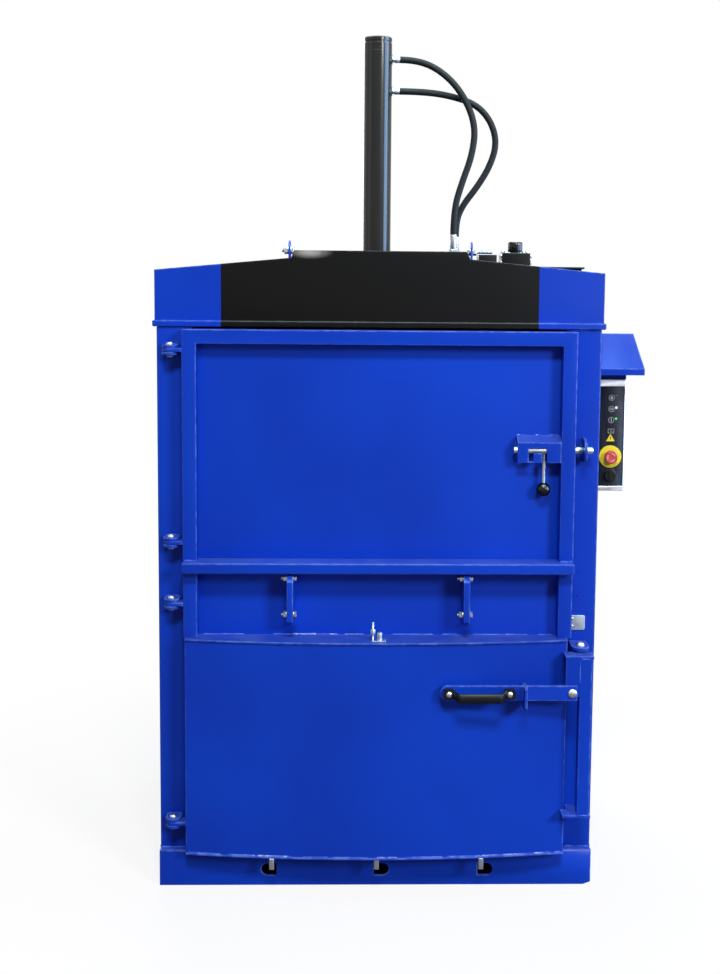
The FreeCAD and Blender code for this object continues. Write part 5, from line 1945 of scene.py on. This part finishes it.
@dataclass
class LowerDoor:
    """The lower door: framed top, bowed shell between two shelves, strap brackets and fingers."""

    bow: float = 0.040
    lip: float = 0.006
    shelf_thick: float = 0.005
    sheet: float = 0.004
    bracket_bolt: Bolt = Bolt(flats=0.0165, head=0.0068, washer=0.0105, shank=0.005)
    bracket_heights: tuple[float, float] = (0.914, 0.810)
    bracket_thick: float = 0.018
    bracket_bolt_depth: float = 0.026
    bracket_tail: float = 0.006
    top_runs: tuple[tuple[float, float], ...] = (
        (-0.50, 0.12), (-0.30, 0.07), (-0.23, 0.10), (0.04, 0.12), (0.18, 0.05), (0.27, 0.16),
        (0.46, 0.04))
    glint_top_runs: tuple[tuple[float, float, float], ...] = (
        (-0.245, 0.072, 0.0026), (-0.145, 0.030, 0.0014), (-0.095, 0.055, 0.0012),
        (0.365, 0.012, 0.0022), (0.20, 0.02, 0.0014))
    glint_low_runs: tuple[tuple[float, float], ...] = (
        (-0.365, 0.02), (-0.34, 0.09), (0.0, 0.025), (0.03, 0.03), (0.30, 0.05), (0.36, 0.05),
        (0.45, 0.03))
    weld: float = 0.0022
    skin_weld: float = 0.0026
    stud: Bolt = Bolt(flats=0.013, head=0.008, washer=0.009, shank=0.0038)
    stud_bolt: Bolt = Bolt(flats=0.0135, head=0.018, washer=0.009, shank=0.0038)
    stud_place: tuple[float, float] = (-0.015, 0.022)
    stud_high: float = 0.054
    stud_bolt_x: float = 0.004

    def build(self) -> None:
        """Dress the lower door."""
        softened("lower_panel", ("lower_door_panel",), Look.BLUE, 0.0008)
        softened("lower_stiles", ("lower_door_stiles",), Look.BLUE, 0.003)
        softened("bracket_plates", ("strap_brackets",), Look.BLUE, 0.0015)
        softened("strap_hooks", ("strap_fingers",), Look.ZINC, 0.0008)
        self.low, self.high = span("lower_door_skin")
        self.skin()
        self.shelves()
        self.welds()
        self.bracket_bolts()
        self.stud_set()

    def front(self, x: np.ndarray, lead: float = 0.0) -> np.ndarray:
        """The bowed front's Y: a circle's arc through both sides with its middle forward.

        Args:
            x: Places across the door.
            lead: How far the line stands in front of the skin.

        Returns:
            Y = centre - sqrt((R + lead)^2 - (x - middle)^2).
        """
        half = (self.high[0] - self.low[0]) / 2
        middle = (self.high[0] + self.low[0]) / 2
        radius = (half ** 2 + self.bow ** 2) / (2.0 * self.bow)
        centre = self.low[1] + radius
        return centre - np.sqrt((radius + lead) ** 2 - (x - middle) ** 2)

    def bowed_outline(self, lead: float, edge: float) -> np.ndarray:
        """A plan outline: the bowed front from left to right, then straight back to the panel.

        Args:
            lead: How far the line stands in front of the skin.
            edge: How much shorter it is at each side.

        Returns:
            Its points.
        """
        x = np.linspace(self.low[0] + edge, self.high[0] - edge, 61)
        front = np.stack([x, self.front(x, lead)], axis=-1)
        back = np.array([[x[-1], self.high[1]], [x[0], self.high[1]]])
        return np.concatenate([front, back])

    def skin(self) -> bpy.types.Object:
        """The bowed sheet with its two sides, folded at the corners.

        Returns:
            The new piece.
        """
        outer = self.bowed_outline(0.0, 0.0)
        inner = self.bowed_outline(-self.sheet, self.sheet)
        ring = np.concatenate([outer[-1:], outer[:-2], outer[-2:-1]])
        inside = np.concatenate([inner[-1:], inner[:-2], inner[-2:-1]])[::-1]
        outline = np.concatenate([ring, inside])
        sheet = plate(outline, Axis.Z, self.low[2], self.high[2])
        return piece("bowed_skin", sheet, Look.BLUE, "lower_door", ("lower_door_skin",),
                     rounding=0.0012)

    def shelves(self) -> bpy.types.Object:
        """The top and bottom shelves, which follow the bow with a small lip.

        Returns:
            The new piece.
        """
        low, high = span("lower_door_shelves")
        outline = self.bowed_outline(self.lip, 0.0)
        shells = [
            plate(outline, Axis.Z, high[2] - self.shelf_thick, high[2]),
            plate(outline, Axis.Z, low[2], low[2] + self.shelf_thick)]
        return piece("bowed_shelves", shells, Look.BLUE, "lower_door", ("lower_door_shelves",),
                     rounding=0.0014)

    def welds(self) -> bpy.types.Object:
        """Broken beads along both shelves, with a few near-white bits of painted highlight over
        them.

        Returns:
            The new piece.
        """
        low, high = span("lower_door_shelves")
        back = span("lower_door_panel")[0][1]
        rng = np.random.default_rng(21)
        beads = []
        for seed, (x, run) in enumerate(self.top_runs):
            beads.append(bead((x, back - 0.001, high[2]), (x + run, back - 0.001, high[2]),
                              self.weld, seed))
        top = low[2] + self.shelf_thick
        x = self.low[0] + 0.004
        seed = 40
        while x < self.high[0] - 0.02:
            run = float(rng.uniform(0.05, 0.11))
            end = min(x + run, self.high[0] - 0.004)
            ends = self.front(np.array([x, end]))
            middle = float(self.front(np.array([(x + end) / 2]))[0])
            bow = float(ends.mean()) - middle
            beads.append(bead((x, ends[0], top), (end, ends[1], top), self.skin_weld, seed, bow))
            x = end + float(rng.uniform(0.002, 0.03))
            seed += 1
        # Painted highlight: near-white bits over the beads stand for glints on the welds.
        bits = [
            bead((x, back - 0.001, high[2] + 0.0004), (x + run, back - 0.001, high[2] + 0.0004),
                 radius, seed)
            for seed, (x, run, radius) in enumerate(self.glint_top_runs)]
        for seed, (x, run) in enumerate(self.glint_low_runs):
            ends = self.front(np.array([x, x + run])) - 0.0008
            bits.append(bead((x, ends[0], top + 0.0010), (x + run, ends[1], top + 0.0010),
                             0.0020, seed + 60))
        piece("glint_beads", bits, Look.BEAD_GLINT, "lower_door")
        return piece("shelf_welds", beads, Look.BLUE, "lower_door")

    def bracket_bolts(self) -> bpy.types.Object:
        """Two bolts across each bracket, nut and thread on the left, head on the right.

        Returns:
            The new piece.
        """
        low, high = span("strap_brackets")
        bolt, thick = self.bracket_bolt, self.bracket_thick
        y = low[1] + self.bracket_bolt_depth
        shells: list[Shell] = []
        for left in (low[0], high[0] - thick):
            for z in self.bracket_heights:
                shells += bolt.nut_set((y, z), Axis.X, left, -1, self.bracket_tail)
                shells += bolt.head_set((y, z), Axis.X, left + thick, 1)
        return piece("bracket_bolts", shells, Look.ZINC, "lower_door")

    def stud_set(self) -> bpy.types.Object:
        """A stud with a nut and a hexagon bolt on a small base plate, on the top shelf.

        Returns:
            The new piece.
        """
        top = span("lower_door_shelves")[1][2]
        x, y = self.stud_place[0], self.low[1] + self.stud_place[1]
        bolt_spot = (self.stud_bolt_x, y)
        shells = [
            block((-0.013, y - 0.012, top), (0.022, y + 0.012, top + 0.003)),
            self.stud.thread((x, y), Axis.Z, top, top + self.stud_high),
            self.stud.hexagon((x, y), Axis.Z, top + 0.020, 1, 0.014),
            self.stud_bolt.hexagon(bolt_spot, Axis.Z, top + 0.003, 1, 0.022)]
        return piece("shelf_stud", shells, Look.ZINC, "lower_door", rounding=0.0004)


@dataclass
class ClosingBar:
    """The closing bar on the right column, with its lever, moulded grip and bolts."""

    tube_left: float = 0.566
    plate_beads: tuple[float, float] = (0.568, 0.598)
    foot_inset: float = 0.012
    foot_deep: float = 0.012
    foot_half: tuple[float, float] = (0.016, 0.0145)
    foot_corner: float = 0.008
    root_inset: float = 0.014
    root_dome: tuple[float, float] = (0.0130, 0.008)
    foot_dome: tuple[float, float] = (0.0085, 0.006)
    grip_points: int = 20
    grip_back: float = 0.007
    grip_half_tall: float = 0.0136
    grip_taper: float = 0.0006
    grip_sag: float = 0.003
    grip_half_deep: float = 0.0075
    grip_swell: float = 0.0005
    bridge_start: float = 0.010
    bridge_run: float = 0.022

    def build(self) -> None:
        """Dress the closing bar."""
        softened("bar", ("closing_bar",), Look.BLUE, 0.002)
        softened("bar_ears", ("closing_bar_ears",), Look.BLUE, 0.0015)
        softened("lever", ("closing_lever",), Look.BLUE, 0.0012)
        self.pins()
        self.grip()
        self.bolts()
        self.welds()

    def pins(self) -> bpy.types.Object:
        """The turned pins: a domed head over the top ear, and a plain end in the bottom one.

        Returns:
            The new piece.
        """
        low, high = span("closing_bar_pins")
        centre = ((low[0] + high[0]) / 2, (low[1] + high[1]) / 2)
        ear_top = span("closing_bar_ears")[1][2]
        bar_low, bar_high = span("closing_bar")
        r = PIN_RADIUS
        shells = [
            turned([(r, bar_high[2] - 0.006), (r, ear_top + 0.001)], centre, Axis.Z),
            dome(centre, Axis.Z, ear_top, 1, 0.0118, high[2] - ear_top),
            turned([(r, low[2]), (r, bar_low[2] + 0.006)], centre, Axis.Z)]
        return piece("bar_pins", shells, Look.ZINC, "frame", ("closing_bar_pins",))

    def grip(self) -> bpy.types.Object:
        """The moulded grip: an oval section carried along a bridge between two flat feet.

        The path is x = u and y = rise times a smooth step at each end; the section is a rounded
        oval that widens into the feet.
        """
        low, high = span("lever_grip")
        face = high[1]
        middle = (low[2] + high[2]) / 2
        rise = high[1] - low[1] - self.grip_back
        share = np.linspace(0.0, 1.0, 49)
        inset = self.foot_inset
        x = low[0] + inset + share * (high[0] - low[0] - 2.0 * inset)
        reach = np.minimum(share, 1.0 - share) * (high[0] - low[0])
        step = np.clip((reach - self.bridge_start) / self.bridge_run, 0.0, 1.0)
        lift = rise * (3.0 * step ** 2 - 2.0 * step ** 3)
        angle = np.linspace(0.0, 2.0 * math.pi, self.grip_points, endpoint=False)
        tall = self.grip_half_tall - self.grip_taper * (1.0 - step)
        sag = self.grip_sag * step
        deep = self.grip_half_deep + self.grip_swell * step
        rings = np.stack([
            np.repeat(x[:, None], self.grip_points, axis=1),
            (face - self.grip_back - lift)[:, None] + deep[:, None] * np.cos(angle),
            (middle - sag)[:, None] + tall[:, None] * np.sin(angle)], axis=-1)
        shells = [swept(rings)]
        half_wide, half_tall = self.foot_half
        for x_foot in (low[0] + self.foot_inset, high[0] - self.foot_inset):
            outline = rounded_outline(
                (x_foot - half_wide, middle - half_tall), (x_foot + half_wide, middle + half_tall),
                self.foot_corner)
            shells.append(plate(outline, Axis.Y, face - self.foot_deep, face))
        return piece("grip", shells, Look.PLASTIC, "closing_bar", ("lever_grip",), smooth=50.0)

    def bolts(self) -> bpy.types.Object:
        """A domed bolt at the lever's root and a socket screw in each foot of the grip.

        Returns:
            The new piece.
        """
        root = span("closing_lever")[1][0] - self.root_inset
        low, high = span("lever_grip")
        face = high[1]
        middle = (low[2] + high[2]) / 2
        shells = [dome((root, middle), Axis.Y, face, -1, *self.root_dome)]
        for x in (low[0] + self.foot_inset, high[0] - self.foot_inset):
            shells.append(dome((x, middle), Axis.Y, face - self.foot_deep, -1, *self.foot_dome))
        return piece("lever_bolts", shells, Look.ZINC, "closing_bar")

    def welds(self) -> bpy.types.Object:
        """Beads where the upright meets its end plates and the lever.

        Returns:
            The new piece.
        """
        low, high = span("closing_bar")
        left, right = self.plate_beads
        beads = [
            bead((left, low[1] + 0.001, z), (right, low[1] + 0.001, z), 0.0022, seed)
            for seed, z in ((3, low[2] + 0.008), (4, high[2] - 0.008))]
        lever_top = span("closing_lever")[1][2]
        beads.append(bead((self.tube_left, low[1], lever_top + 0.001),
                          (self.tube_left, low[1], high[2] - 0.012), 0.0016, 5))
        return piece("bar_welds", beads, Look.BLUE, "closing_bar")


@dataclass
class Interlock:
    """The small satin plate on the right column, with its two screws."""

    edge: float = 0.0008
    screw_inset: float = 0.0185
    screw_dome: tuple[float, float] = (0.0036, 0.002)

    def build(self) -> None:
        """Dress the interlock plate."""
        low, high = span("interlock_plate")
        softened("interlock_cover", ("interlock_plate",), Look.PLATE, self.edge)
        screws = [
            dome((low[0] + self.screw_inset, z), Axis.Y, low[1], -1, *self.screw_dome)
            for z in (low[2] + 0.012, high[2] - 0.009)]
        piece("interlock_screws", screws, Look.ZINC, "frame")


def main() -> None:
    """Build each sub-assembly in order."""
    logging.basicConfig(level=logging.INFO, format="%(message)s")
    bpy.context.scene.view_settings.view_transform = "Standard"
    fill_palette()
    Viewpoint().build()
    Studio().build()
    for hose in HOSES:
        hose.build()
    for assembly in (
        Cabinet(), Head(), PressCylinder(), PowerUnit(), Controls(), Hinges(), UpperDoor(), Latch(),
        LowerDoor(), ClosingBar(), Interlock(),
    ):
        LOG.info("%s", type(assembly).__name__)
        assembly.build()


if __name__ == "__main__":
    main()
